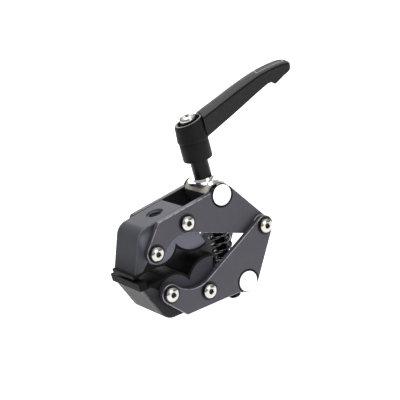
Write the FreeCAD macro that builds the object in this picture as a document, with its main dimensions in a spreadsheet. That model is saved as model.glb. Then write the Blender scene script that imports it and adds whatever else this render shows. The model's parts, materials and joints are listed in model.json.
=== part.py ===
"""Adjustable lever super clamp, built as a parametric assembly.

Frame: millimetres, +Z up, +Y across the clamp, jaws towards -X.
The origin is the centre of the grip, on the mid-plane where the four jaw lobes meet.
Both arms share one outline: the lower arm is the upper one turned over about the X axis.
"""
import FreeCAD, Part
import math
import os

import Sketcher

# name, value, what it is
SIZES = [
    ("pivot_setback", 58.0, "grip centre to pivot axis"),
    ("nose_reach", 31.4, "grip centre to the front of the jaw nose"),
    ("block_width", 25.0, "width of the upper jaw block"),
    ("plate_thickness", 4.0, "side plate thickness"),
    ("arm_gap", 0.3, "gap between upper and lower plates, filled by the thrust washers"),
    ("front_screw_ahead", 16.15, "front screw ahead of the grip centre"),
    ("front_screw_rise", 12.7, "front screw above the mid-plane"),
    ("rear_screw_back", 8.7, "rear screw behind the grip centre"),
    ("rear_screw_rise", 21.85, "rear screw above the mid-plane"),
    ("barrel_back", 36.6, "cross barrel behind the grip centre"),
    ("barrel_rise", 28.4, "cross barrel above the mid-plane"),
    ("eye_radius", 6.0, "plate eye round the pivot"),
    ("boss_radius", 6.0, "plate end round the front screw"),
    ("arch_back", 3.2, "centre of the plate's underside arch behind the grip centre"),
    ("arch_drop", 1.5, "centre of the plate's underside arch below the mid-plane"),
    ("plate_top_front_ahead", 9.3, "plate's top front corner ahead of the grip centre"),
    ("plate_top_front_rise", 29.7, "plate's top front corner above the mid-plane"),
    ("lip_front_ahead", 5.1, "end of the plate's top edge ahead of the barrel axis"),
    ("lip_front_rise", 4.2, "end of the plate's top edge above the barrel axis"),
    ("lip_rear_back", 7.0, "rear lip of the barrel hole behind the barrel axis"),
    ("lip_rear_rise", 2.9, "rear lip of the barrel hole above the barrel axis"),
    ("plate_chamfer", 0.4, "chamfer round a side plate"),
    ("bore_chamfer", 0.6, "chamfer at the mouths of a plate's barrel hole"),
    ("nose_half_gap", 4.6, "jaw nose face above the mid-plane"),
    ("nose_heel_ahead", 25.8, "back end of the nose face ahead of the grip centre"),
    ("nose_top_ahead", 21.6, "nose and top face corner ahead of the grip centre"),
    ("nose_top_rise", 28.5, "nose and top face corner above the mid-plane"),
    ("nose_round", 9.0, "radius of the nose's top corner"),
    ("block_top_back", 11.0, "top face's rear edge behind the grip centre"),
    ("block_top_rise", 31.1, "top face's rear edge above the mid-plane"),
    ("heel_back", 19.6, "rear end of the jaw behind the grip centre"),
    ("lobe_start_ahead", 21.2, "front end of the front lobe ahead of the grip centre"),
    ("front_lobe_ahead", 11.5, "front lobe centre ahead of the grip centre"),
    ("front_lobe_rise", 15.9, "front lobe centre above the mid-plane"),
    ("front_lobe_radius", 12.0, "front lobe radius"),
    ("lobe_overlap", 1.96, "overlap of the two lobes' circles"),
    ("rear_lobe_rise", 18.6, "rear lobe centre above the mid-plane"),
    ("rear_lobe_radius", 15.4, "rear lobe radius"),
    ("block_chamfer", 0.6, "chamfer along the block's side outlines"),
    ("pad_thickness", 1.5, "rubber lining thickness"),
    ("pad_lip", 1.6, "lining's overhang in front of the nose"),
    ("pad_step_ahead", 27.8, "back end of the lining's front lip ahead of the grip centre"),
    ("upper_lip_thickness", 2.2, "front lip thickness of the upper lining"),
    ("lower_lip_thickness", 5.0, "front lip thickness of the lower lining"),
    ("accessory_hole_ahead", 1.8, "accessory thread ahead of the grip centre"),
    ("accessory_hole_radius", 4.7625, "3/8 inch accessory thread, major radius"),
    ("accessory_hole_depth", 13.0, "accessory thread depth"),
    ("accessory_mouth", 0.6, "chamfer at the accessory thread's mouth"),
    ("screw_radius", 2.5, "M5 shank radius"),
    ("screw_clearance", 0.05, "shank clearance in its hole"),
    ("screw_head_radius", 4.75, "button head radius"),
    ("screw_head_height", 2.75, "button head height"),
    ("screw_crown_radius", 2.6, "flat crown of the button head"),
    ("screw_socket_radius", 1.75, "hexagon socket, corner radius"),
    ("screw_socket_depth", 1.7, "hexagon socket depth"),
    ("arm_screw_bite", 8.0, "arm screw length inside the jaw block"),
    ("pivot_screw_bite", 9.0, "pivot screw length inside the pivot shaft"),
    ("pivot_radius", 4.0, "pivot shaft radius"),
    ("pivot_clearance", 0.05, "running clearance round the pivot shaft"),
    ("pivot_spacer_radius", 5.4, "pivot spacer outer radius"),
    ("thrust_washer_radius", 6.0, "pivot thrust washer outer radius"),
    ("journal_radius", 7.0, "barrel journal radius"),
    ("journal_clearance", 0.05, "running clearance round a barrel journal"),
    ("journal_chamfer", 0.5, "chamfer on a barrel's end"),
    ("drum_radius", 8.0, "barrel drum radius between the plates"),
    ("drum_side_gap", 0.2, "gap between the drum and each plate"),
    ("drum_flat", 7.0, "flats on the drum, height above its axis"),
    ("spindle_radius", 4.0, "M8 spindle radius"),
    ("spindle_clearance", 0.08, "running clearance round the spindle"),
    ("spindle_drop", 43.5, "spindle's lower end below the mid-plane"),
    ("spindle_chamfer", 0.8, "chamfer on the spindle's ends"),
    ("flat_washer_radius", 9.6, "large flat washer radius"),
    ("flat_washer_height", 2.0, "large flat washer thickness"),
    ("collar_washer_radius", 6.6, "collar washer radius"),
    ("collar_washer_height", 0.8, "collar washer thickness"),
    ("seat_radius", 7.2, "spring seat radius"),
    ("seat_height", 1.2, "spring seat thickness"),
    ("spring_radius", 6.0, "jaw spring mean radius"),
    ("spring_wire_radius", 0.9, "jaw spring wire radius"),
    ("spring_turns", 9.5, "jaw spring turns"),
    ("spring_end_gap", 0.1, "gap between the spring and each seat"),
    ("neck_radius", 5.5, "lever insert's neck radius"),
    ("neck_length", 14.0, "lever insert's neck length"),
    ("neck_overlap", 8.0, "spindle length inside the lever insert"),
    ("spline_radius", 6.3, "serration tip radius on the lever insert"),
    ("spline_depth", 0.7, "serration depth"),
    ("spline_length", 7.0, "serration length"),
    ("spline_clearance", 0.15, "gap between insert and lever serrations"),
    ("hub_start", 11.5, "lever hub's lower rim above the neck's foot"),
    ("hub_height", 26.3, "lever hub height"),
    ("hub_radius", 8.8, "lever hub radius near its top"),
    ("hub_seam_radius", 9.1, "lever hub radius just under its seam"),
    ("hub_overhang", 0.6, "upper hub's overhang at the seam"),
    ("hub_foot_radius", 9.1, "lever hub radius at its lower rim"),
    ("hub_seam", 12.0, "lever hub's seam above its lower rim"),
    ("lever_bite", 4.0, "height of the lever's own serrations"),
    ("lever_seat_gap", 0.1, "gap between the insert's top and the lever's inner ledge"),
    ("spring_pocket_radius", 5.6, "lever hub's pocket round the lever spring"),
    ("hub_slant", 0.19, "rise of the hub's sloping top per mm towards the arm"),
    ("hub_top_drop", 1.8, "hub's sloping top at the spindle axis, below the full hub height"),
    ("head_recess_radius", 6.2, "recess round the lever screw's head, at its floor"),
    ("head_recess_depth", 4.6, "recess floor below the full hub height"),
    ("lever_floor", 1.6, "inner ledge between serrations and spring pocket"),
    ("lever_heading", -15.0, "lever arm's heading about the spindle, degrees from +X"),
    ("arm_width", 13.0, "lever arm width at the hub"),
    ("arm_tip_width", 10.6, "lever arm width at its tip"),
    ("arm_reach", 70.2, "spindle axis to the lever arm's tip"),
    ("lever_screw_radius", 2.5, "lever screw shank radius"),
    ("lever_head_radius", 5.0, "lever screw head radius"),
    ("lever_head_height", 4.4, "lever screw head height"),
    ("lever_head_rise", 2.0, "lever screw head above the full hub height"),
    ("recess_flare", 1.1, "widening of the head recess from its floor to the full hub height"),
    ("lever_spring_radius", 4.2, "lever spring mean radius"),
    ("lever_spring_wire_radius", 0.5, "lever spring wire radius"),
    ("lever_spring_turns", 3.5, "lever spring turns"),
    ("lever_washer_height", 0.6, "washer under the lever spring"),
]
SPLINE_TEETH = 24

doc = FreeCAD.newDocument("super_clamp")


class Dim:
    """A length that carries its number together with the sheet expression it comes from."""

    def __init__(self, number, text):
        self.number = float(number)
        self.text = text

    @staticmethod
    def of(value):
        return value if isinstance(value, Dim) else Dim(value, repr(float(value)))

    def _join(self, other, number, sign):
        return Dim(number, f"({self.text} {sign} {other.text})")

    def __add__(self, other):
        other = Dim.of(other)
        return self._join(other, self.number + other.number, "+")

    def __sub__(self, other):
        other = Dim.of(other)
        return self._join(other, self.number - other.number, "-")

    def __mul__(self, other):
        other = Dim.of(other)
        return self._join(other, self.number * other.number, "*")

    def __truediv__(self, other):
        other = Dim.of(other)
        return self._join(other, self.number / other.number, "/")

    def __neg__(self):
        return Dim(-self.number, f"(-1 * {self.text})")

    __radd__ = __add__
    __rmul__ = __mul__

    def __rsub__(self, other):
        return Dim.of(other) - self


class Sizes:
    """The driving dimensions, one spreadsheet row each."""

    def __init__(self, rows):
        self.sheet = doc.addObject("Spreadsheet::Sheet", "Sizes")
        for row, (name, value, meaning) in enumerate(rows, start=1):
            self.sheet.set(f"A{row}", name)
            self.sheet.set(f"B{row}", str(value))
            self.sheet.set(f"C{row}", meaning)
            self.sheet.setAlias(f"B{row}", name)
        doc.recompute()

    def __getattr__(self, name):
        return Dim(self.sheet.get(name), f"Sizes.{name}")


S = Sizes(SIZES)

# Places that several pieces share.
FRONT_SCREW = (-S.front_screw_ahead, S.front_screw_rise)
REAR_SCREW = (S.rear_screw_back, S.rear_screw_rise)
BARREL = (S.barrel_back, S.barrel_rise)
PIVOT = (S.pivot_setback, Dim.of(0))
LOWER_WIDTH = S.block_width + (S.plate_thickness + S.arm_gap) * 2
CLAMP_WIDTH = LOWER_WIDTH + S.plate_thickness * 2
# the lobes' circles overlap by a fixed amount; 0.9944 is the cosine of the slope between their centres
REAR_LOBE_BACK = (S.front_lobe_radius + S.rear_lobe_radius - S.lobe_overlap) * 0.9944 - S.front_lobe_ahead
WASHER_SEAT = S.barrel_rise + S.drum_flat
NECK_FOOT = WASHER_SEAT + S.flat_washer_height + S.collar_washer_height
SPLINE_FOOT = NECK_FOOT + S.neck_length
SPLINE_TOP = SPLINE_FOOT + S.spline_length
HUB_FOOT = NECK_FOOT + S.hub_start
HUB_TOP = HUB_FOOT + S.hub_height
LEDGE_TOP = SPLINE_TOP + S.lever_seat_gap + S.lever_floor
HEAD_TOP = HUB_TOP + S.lever_head_rise
HEAD_FOOT = HEAD_TOP - S.lever_head_height


def bind(target, prop, dim):
    """Set one property and tie it to the sheet."""
    dim = Dim.of(dim)
    setattr(target, prop, dim.number)
    target.setExpression(prop, dim.text)


def new_body(label):
    body = doc.addObject("PartDesign::Body", label)
    body.Label = label
    return body


def new_sketch(body, name, role):
    sketch = body.newObject("Sketcher::SketchObject", name)
    plane = [item for item in body.Origin.OriginFeatures if item.Role == role][0]
    sketch.AttachmentSupport = [(plane, "")]
    sketch.MapMode = "FlatFace"
    return sketch


def pin(sketch, geometry, point, place):
    """Tie a sketch point to sheet expressions; None leaves that direction free."""
    for kind, dim in zip(("DistanceX", "DistanceY"), place):
        if dim is None:
            continue
        dim = Dim.of(dim)
        index = sketch.addConstraint(
            Sketcher.Constraint(kind, -1, 1, geometry, point, dim.number))
        sketch.setExpression(f"Constraints[{index}]", dim.text)


def set_radius(sketch, geometry, dim):
    dim = Dim.of(dim)
    index = sketch.addConstraint(Sketcher.Constraint("Radius", geometry, dim.number))
    sketch.setExpression(f"Constraints[{index}]", dim.text)


def join(sketch, first, first_point, second, second_point, kind="Coincident"):
    sketch.addConstraint(Sketcher.Constraint(kind, first, first_point, second, second_point))


def vec(place):
    return FreeCAD.Vector(Dim.of(place[0]).number, Dim.of(place[1]).number, 0)


def add_line(sketch, start, end):
    return sketch.addGeometry(Part.LineSegment(start, end), False)


def add_arc(sketch, centre, start, end):
    """Counter-clockwise arc about centre from start to end."""
    ray_in = start - centre
    ray_out = end - centre
    circle = Part.Circle(centre, FreeCAD.Vector(0, 0, 1), ray_in.Length)
    first = math.atan2(ray_in.y, ray_in.x)
    last = math.atan2(ray_out.y, ray_out.x)
    return sketch.addGeometry(Part.ArcOfCircle(circle, first, last), False)


def polygon(sketch, points):
    """Closed outline of straight lines with every corner tied to the sheet."""
    spots = [vec(point) for point in points]
    edges = [add_line(sketch, spots[i], spots[(i + 1) % len(spots)]) for i in range(len(spots))]
    for i, edge in enumerate(edges):
        join(sketch, edge, 2, edges[(i + 1) % len(edges)], 1)
        pin(sketch, edge, 1, points[i])
    return edges


def circle(sketch, centre, radius):
    radius = Dim.of(radius)
    ring = Part.Circle(vec(centre), FreeCAD.Vector(0, 0, 1), radius.number)
    index = sketch.addGeometry(ring, False)
    pin(sketch, index, 3, centre)
    set_radius(sketch, index, radius)
    return index


def pad(body, sketch, name, width):
    """Pad a sketch by the same amount to both sides of its plane."""
    feature = body.newObject("PartDesign::Pad", name)
    feature.Profile = sketch
    feature.Midplane = True
    bind(feature, "Length", width)
    sketch.Visibility = False
    return feature


def turned(body, name, role, points, groove=False):
    """Revolve a closed outline of (radius, height) corners about the sketch's vertical axis."""
    sketch = new_sketch(body, name + "_outline", role)
    polygon(sketch, points)
    kind = "PartDesign::Groove" if groove else "PartDesign::Revolution"
    feature = body.newObject(kind, name)
    feature.Profile = sketch
    feature.ReferenceAxis = (sketch, ["V_Axis"])
    feature.Angle = 360
    return feature


def drilled(body, name, base, rotation, radius, depth, mouth=None):
    """Cut a round hole from base along the rotated +Z; mouth makes it a cone."""
    kind = "PartDesign::SubtractiveCylinder" if mouth is None else "PartDesign::SubtractiveCone"
    cutter = body.newObject(kind, name)
    if mouth is None:
        bind(cutter, "Radius", radius)
    else:
        bind(cutter, "Radius1", radius)
        bind(cutter, "Radius2", mouth)
    bind(cutter, "Height", depth)
    cutter.Placement = FreeCAD.Placement(base, rotation)
    return cutter


def through_holes(body, name, holes, width):
    """Cut round holes, each (centre, radius), across the whole width."""
    sketch = new_sketch(body, name + "_centres", "XZ_Plane")
    for centre, radius in holes:
        circle(sketch, centre, radius)
    pocket = body.newObject("PartDesign::Pocket", name)
    pocket.Profile = sketch
    pocket.Midplane = True
    bind(pocket, "Length", width * 2)
    return pocket


def chamfer(body, name, base, edges, size):
    feature = body.newObject("PartDesign::Chamfer", name)
    feature.Base = (base, edges)
    bind(feature, "Size", size)
    return feature


def edges_where(shape, test):
    return [f"Edge{i}" for i, edge in enumerate(shape.Edges, start=1) if test(edge)]


def lies_flat(edge, level):
    """True when the whole edge lies in the plane y = level or y = -level."""
    box = edge.BoundBox
    return box.YLength < 1e-6 and abs(abs(box.YMin) - level) < 1e-6


def turn_over(item, shift=0.0):
    """Turn a piece over about the X axis, for the lower arm."""
    item.Placement = FreeCAD.Placement(
        FreeCAD.Vector(0, shift, 0), FreeCAD.Rotation(FreeCAD.Vector(1, 0, 0), 180))


def tangent_from(point, centre, radius, side):
    """Touching point of the line from point to a circle; side +1 turns left of the centre."""
    ray = centre - point
    reach = math.sqrt(ray.Length ** 2 - radius ** 2)
    angle = math.atan2(ray.y, ray.x) + side * math.asin(radius / ray.Length)
    return point + FreeCAD.Vector(math.cos(angle), math.sin(angle), 0) * reach


# ---------------------------------------------------------------- arms

def plate_outline(body):
    """Side plate: eye, underside, arch, front end, slanted front, top edge, barrel lips."""
    sketch = new_sketch(body, body.Label + "_outline", "XZ_Plane")
    corner = (-S.plate_top_front_ahead, S.plate_top_front_rise)
    lip_front = (S.barrel_back - S.lip_front_ahead, S.barrel_rise + S.lip_front_rise)
    lip_rear = (S.barrel_back + S.lip_rear_back, S.barrel_rise + S.lip_rear_rise)
    arch = (S.arch_back, -S.arch_drop)
    eye_centre, arch_centre, boss_centre = vec(PIVOT), vec(arch), vec(FRONT_SCREW)
    eye = S.eye_radius.number
    boss = S.boss_radius.number
    arch_radius = (boss_centre - arch_centre).Length - boss
    eye_rear = tangent_from(vec(lip_rear), eye_centre, eye, 1)
    boss_front = tangent_from(vec(corner), boss_centre, boss, -1)
    boss_heel = boss_centre + (arch_centre - boss_centre).normalize() * boss
    ray = eye_centre - arch_centre
    lean = math.atan2(ray.y, ray.x) - math.asin((arch_radius + eye) / ray.Length)
    outward = FreeCAD.Vector(-math.sin(lean), math.cos(lean), 0)
    arch_end = arch_centre + outward * arch_radius
    eye_under = eye_centre - outward * eye
    top = add_line(sketch, vec(corner), vec(lip_front))
    lip = add_line(sketch, vec(lip_front), vec(lip_rear))
    rear = add_line(sketch, vec(lip_rear), eye_rear)
    eye_arc = add_arc(sketch, eye_centre, eye_under, eye_rear)
    under = add_line(sketch, eye_under, arch_end)
    arch_arc = add_arc(sketch, arch_centre, arch_end, boss_heel)
    boss_arc = add_arc(sketch, boss_centre, boss_front, boss_heel)
    front = add_line(sketch, boss_front, vec(corner))
    join(sketch, front, 2, top, 1)
    join(sketch, top, 2, lip, 1)
    join(sketch, lip, 2, rear, 1)
    join(sketch, rear, 2, eye_arc, 2, "Tangent")
    join(sketch, eye_arc, 1, under, 1, "Tangent")
    join(sketch, under, 2, arch_arc, 1, "Tangent")
    join(sketch, arch_arc, 2, boss_arc, 2, "Tangent")
    join(sketch, boss_arc, 1, front, 1, "Tangent")
    pin(sketch, top, 1, corner)
    pin(sketch, lip, 1, lip_front)
    pin(sketch, rear, 1, lip_rear)
    for arc, centre in ((eye_arc, PIVOT), (arch_arc, arch), (boss_arc, FRONT_SCREW)):
        pin(sketch, arc, 3, centre)
    set_radius(sketch, eye_arc, S.eye_radius)
    set_radius(sketch, boss_arc, S.boss_radius)
    return sketch


def side_plate(label, lower, side):
    """One side plate; side is -1 for the near plate and +1 for the far one."""
    body = new_body(label)
    plate = pad(body, plate_outline(body), label + "_plate", S.plate_thickness)
    pivot_radius = S.pivot_radius + (Dim.of(0) if lower else S.pivot_clearance)
    screw_radius = S.screw_radius + S.screw_clearance
    through_holes(body, label + "_holes", [
        (FRONT_SCREW, screw_radius), (REAR_SCREW, screw_radius),
        (PIVOT, pivot_radius), (BARREL, S.journal_radius + S.journal_clearance),
    ], S.plate_thickness)
    doc.recompute()
    half = S.plate_thickness.number / 2
    bores = (screw_radius.number, pivot_radius.number, (S.journal_radius + S.journal_clearance).number)

    def on_outline(edge):
        """True for an edge of the outer outline, not of a bore."""
        if not lies_flat(edge, half):
            return False
        return not (isinstance(edge.Curve, Part.Circle)
                    and min(abs(edge.Curve.Radius - bore) for bore in bores) < 1e-3)

    rims = edges_where(body.Tip.Shape, on_outline)
    chamfer(body, label + "_chamfer", body.Tip, rims, S.plate_chamfer)
    for side_index, turn in enumerate((90, -90), start=1):
        facing = FreeCAD.Rotation(FreeCAD.Vector(1, 0, 0), turn)
        outward = facing.multVec(FreeCAD.Vector(0, 0, 1))
        depth = S.bore_chamfer.number
        base = vec(BARREL)
        base = FreeCAD.Vector(base.x, 0, base.y) + outward * (half - depth)
        hole = S.journal_radius + S.journal_clearance
        drilled(body, f"{label}_bore_chamfer_{side_index}", base, facing,
                hole, S.bore_chamfer * 2, mouth=hole + S.bore_chamfer * 2)
    inner = (LOWER_WIDTH if lower else S.block_width).number / 2
    shift = side * (inner + half)
    if lower:
        turn_over(body, shift)
    else:
        body.Placement.Base = FreeCAD.Vector(0, shift, 0)
    return body


def lobe_arcs(sketch, extra, metal_end=None):
    """The two jaw lobes, grown by extra; returns the front and the rear arc."""
    front_centre = (-S.front_lobe_ahead, S.front_lobe_rise)
    rear_centre = (REAR_LOBE_BACK, S.rear_lobe_rise)
    front_radius = S.front_lobe_radius + extra
    rear_radius = S.rear_lobe_radius + extra
    first, second = vec(front_centre), vec(rear_centre)
    gap = second - first
    along = (gap.Length ** 2 + front_radius.number ** 2 - rear_radius.number ** 2) / (2 * gap.Length)
    drop = math.sqrt(front_radius.number ** 2 - along ** 2)
    unit = FreeCAD.Vector(gap).normalize()
    cusp = first + unit * along + FreeCAD.Vector(unit.y, -unit.x, 0) * drop
    heel_run = S.heel_back.number - second.x
    heel = FreeCAD.Vector(
        S.heel_back.number, second.y - math.sqrt(rear_radius.number ** 2 - heel_run ** 2), 0)
    start_run = -S.lobe_start_ahead.number - first.x
    if metal_end is None:
        start = FreeCAD.Vector(
            -S.lobe_start_ahead.number,
            first.y - math.sqrt(front_radius.number ** 2 - start_run ** 2), 0)
    else:
        level = metal_end.number
        run = math.sqrt(front_radius.number ** 2 - (first.y - level) ** 2)
        start = FreeCAD.Vector(first.x - run, level, 0)
    front = add_arc(sketch, first, start, cusp)
    rear = add_arc(sketch, second, cusp, heel)
    join(sketch, front, 2, rear, 1)
    pin(sketch, front, 3, front_centre)
    pin(sketch, rear, 3, rear_centre)
    set_radius(sketch, front, front_radius)
    set_radius(sketch, rear, rear_radius)
    pin(sketch, rear, 2, (S.heel_back, None))
    if metal_end is None:
        pin(sketch, front, 1, (-S.lobe_start_ahead, None))
    else:
        pin(sketch, front, 1, (None, metal_end))
    return front, rear, start, heel


def block_outline(body):
    """Jaw block: slanted nose, round top corner, top face, slanted rear and two lobes."""
    sketch = new_sketch(body, body.Label + "_outline", "XZ_Plane")
    nose = (-S.nose_reach, S.nose_half_gap)
    heel_of_nose = (-S.nose_heel_ahead, S.nose_half_gap)
    peak = (-S.nose_top_ahead, S.nose_top_rise)
    top_rear = (S.block_top_back, S.block_top_rise)
    front, rear, start, heel = lobe_arcs(sketch, Dim.of(0))
    down = (vec(nose) - vec(peak)).normalize()
    along = (vec(top_rear) - vec(peak)).normalize()
    half_angle = math.acos(down.dot(along)) / 2
    reach = S.nose_round.number / math.tan(half_angle)
    bisector = (down + along).normalize()
    centre = vec(peak) + bisector * (S.nose_round.number / math.sin(half_angle))
    low_touch = vec(peak) + down * reach
    top_touch = vec(peak) + along * reach
    face = add_line(sketch, vec(nose), low_touch)
    corner = add_arc(sketch, centre, top_touch, low_touch)
    top = add_line(sketch, top_touch, vec(top_rear))
    back = add_line(sketch, vec(top_rear), heel)
    notch = add_line(sketch, start, vec(heel_of_nose))
    flat = add_line(sketch, vec(heel_of_nose), vec(nose))
    mark = sketch.addGeometry(Part.Point(vec(peak)), True)
    pin(sketch, mark, 1, peak)
    join(sketch, face, 2, corner, 2, "Tangent")
    join(sketch, corner, 1, top, 1, "Tangent")
    join(sketch, top, 2, back, 1)
    join(sketch, back, 2, rear, 2)
    join(sketch, front, 1, notch, 1)
    join(sketch, notch, 2, flat, 1)
    join(sketch, flat, 2, face, 1)
    sketch.addConstraint(Sketcher.Constraint("PointOnObject", mark, 1, face))
    sketch.addConstraint(Sketcher.Constraint("PointOnObject", mark, 1, top))
    set_radius(sketch, corner, S.nose_round)
    pin(sketch, face, 1, nose)
    pin(sketch, back, 1, top_rear)
    pin(sketch, flat, 1, heel_of_nose)
    return sketch


def jaw_block(label, width, lower):
    body = new_body(label)
    pad(body, block_outline(body), label + "_solid", width)
    screw_radius = S.screw_radius + S.screw_clearance
    through_holes(body, label + "_screw_holes",
                  [(FRONT_SCREW, screw_radius), (REAR_SCREW, screw_radius)], width)
    doc.recompute()
    half = width.number / 2
    jaw_top = S.front_screw_rise.number
    outer = edges_where(
        body.Tip.Shape,
        lambda edge: lies_flat(edge, half) and edge.CenterOfMass.z > jaw_top
        and not isinstance(edge.Curve, Part.Circle))
    chamfer(body, label + "_chamfer", body.Tip, outer, S.block_chamfer)
    if lower:
        turn_over(body)
    else:
        accessory_thread(body)
    return body


def accessory_thread(body):
    """Threaded accessory hole, square to the sloping top face."""
    run = S.block_top_back.number + S.nose_top_ahead.number
    rise = S.block_top_rise.number - S.nose_top_rise.number
    slope = rise / run
    ahead = S.accessory_hole_ahead.number
    mouth = FreeCAD.Vector(-ahead, 0, S.nose_top_rise.number + slope * (S.nose_top_ahead.number - ahead))
    tilt = FreeCAD.Rotation(FreeCAD.Vector(0, 1, 0), -math.degrees(math.atan(slope)))
    normal = tilt.multVec(FreeCAD.Vector(0, 0, 1))
    drilled(body, "accessory_thread", mouth - normal * S.accessory_hole_depth.number, tilt,
            S.accessory_hole_radius, S.accessory_hole_depth + 1)
    drilled(body, "accessory_mouth", mouth - normal * S.accessory_mouth.number, tilt,
            S.accessory_hole_radius, S.accessory_mouth * 2,
            mouth=S.accessory_hole_radius + S.accessory_mouth * 2)


def jaw_pad(label, width, lip_thickness, lower):
    """Rubber lining: a front lip, a flat stretch, and a skin over both lobes."""
    body = new_body(label)
    sketch = new_sketch(body, label + "_outline", "XZ_Plane")
    face_level = S.nose_half_gap - S.pad_thickness
    lip_top = (-(S.nose_reach + S.pad_lip), S.nose_half_gap)
    lip_foot = (-(S.nose_reach + S.pad_lip), S.nose_half_gap - lip_thickness)
    step_foot = (-S.pad_step_ahead, S.nose_half_gap - lip_thickness)
    step_top = (-S.pad_step_ahead, face_level)
    heel_of_nose = (-S.nose_heel_ahead, S.nose_half_gap)
    skin_front, skin_rear, skin_start, skin_heel = lobe_arcs(sketch, S.pad_thickness, face_level)
    metal_front, metal_rear, metal_start, metal_heel = lobe_arcs(sketch, Dim.of(0))
    back = add_line(sketch, skin_heel, metal_heel)
    notch = add_line(sketch, metal_start, vec(heel_of_nose))
    seat = add_line(sketch, vec(heel_of_nose), vec(lip_top))
    front = add_line(sketch, vec(lip_top), vec(lip_foot))
    foot = add_line(sketch, vec(lip_foot), vec(step_foot))
    step = add_line(sketch, vec(step_foot), vec(step_top))
    flat = add_line(sketch, vec(step_top), skin_start)
    chain = ((skin_rear, 2, back, 1), (back, 2, metal_rear, 2), (metal_front, 1, notch, 1),
             (notch, 2, seat, 1), (seat, 2, front, 1), (front, 2, foot, 1), (foot, 2, step, 1),
             (step, 2, flat, 1), (flat, 2, skin_front, 1))
    for first, first_point, second, second_point in chain:
        join(sketch, first, first_point, second, second_point)
    for line, place in ((seat, heel_of_nose), (front, lip_top), (foot, lip_foot),
                        (step, step_foot), (flat, step_top)):
        pin(sketch, line, 1, place)
    pad(body, sketch, label + "_rubber", width)
    if lower:
        turn_over(body)
    return body


# ---------------------------------------------------------------- fasteners

def button_screw(label, length):
    """Button head screw along Z, head up, seated at z = 0."""
    body = new_body(label)
    shoulder = S.screw_head_height * 0.55
    turned(body, label + "_turned", "XZ_Plane", [
        (0, S.screw_head_height),
        (S.screw_crown_radius, S.screw_head_height),
        ((S.screw_crown_radius + S.screw_head_radius) * 0.52, S.screw_head_height * 0.86),
        (S.screw_head_radius - S.screw_head_height * 0.12, shoulder),
        (S.screw_head_radius, S.screw_head_height * 0.2),
        (S.screw_head_radius, 0),
        (S.screw_radius, 0),
        (S.screw_radius, -length),
        (0, -length),
    ])
    sketch = new_sketch(body, label + "_socket_outline", "XY_Plane")
    corners = []
    for i in range(6):
        angle = math.radians(60 * i)
        corners.append((S.screw_socket_radius * math.cos(angle), S.screw_socket_radius * math.sin(angle)))
    polygon(sketch, corners)
    socket = body.newObject("PartDesign::Pocket", label + "_socket")
    sketch.AttachmentOffset = FreeCAD.Placement(
        FreeCAD.Vector(0, 0, S.screw_head_height.number), FreeCAD.Rotation())
    socket.Profile = sketch
    bind(socket, "Length", S.screw_socket_depth)
    return body


def screw_group(label, spots, seat, length, lower=False):
    """One screw from each side at every spot, as a group of separate solids."""
    screws = []
    for spot in spots:
        for side in (-1, 1):
            screw = button_screw(f"{label}_{len(screws) + 1}", length)
            lean = FreeCAD.Rotation(FreeCAD.Vector(1, 0, 0), -90 * side)
            height = Dim.of(spot[1]).number * (-1 if lower else 1)
            base = FreeCAD.Vector(Dim.of(spot[0]).number, side * seat.number, height)
            screw.Placement = FreeCAD.Placement(base, lean)
            screws.append(screw)
    return grouped(label, screws)


def grouped(label, items):
    group = doc.addObject("Part::Compound", label)
    group.Label = label
    group.Links = items
    return group


# ---------------------------------------------------------------- pivot

def pivot_shaft():
    body = new_body("pivot_shaft")
    half = CLAMP_WIDTH / 2 - 0.1
    bore = S.screw_radius + S.screw_clearance
    depth = S.pivot_screw_bite + 1
    turned(body, "pivot_shaft_turned", "XY_Plane", [
        (0, -(half - depth)), (bore, -(half - depth)), (bore, -half), (S.pivot_radius, -half),
        (S.pivot_radius, half), (bore, half), (bore, half - depth), (0, half - depth),
    ])
    body.Placement.Base = FreeCAD.Vector(S.pivot_setback.number, 0, 0)
    return body


def ring(label, role, inner, outer, low, high):
    body = new_body(label)
    turned(body, label + "_turned", role,
           [(inner, low), (outer, low), (outer, high), (inner, high)])
    return body


def pivot_rings():
    """The spacer between the upper plates and the two thin washers outside them."""
    inner = S.pivot_radius + S.pivot_clearance
    spacer = ring("pivot_spacer", "XY_Plane", inner, S.pivot_spacer_radius,
                  -S.block_width / 2, S.block_width / 2)
    spacer.Placement.Base = FreeCAD.Vector(S.pivot_setback.number, 0, 0)
    washers = []
    edge = S.block_width / 2 + S.plate_thickness
    for side, low in ((-1, -(edge + S.arm_gap)), (1, edge)):
        washer = ring(f"pivot_thrust_washer_{len(washers) + 1}", "XY_Plane", inner,
                      S.thrust_washer_radius, low, low + S.arm_gap)
        washer.Placement.Base = FreeCAD.Vector(S.pivot_setback.number, 0, 0)
        washers.append(washer)
    return [spacer, grouped("pivot_thrust_washers", washers)]


# ---------------------------------------------------------------- spindle train

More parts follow.
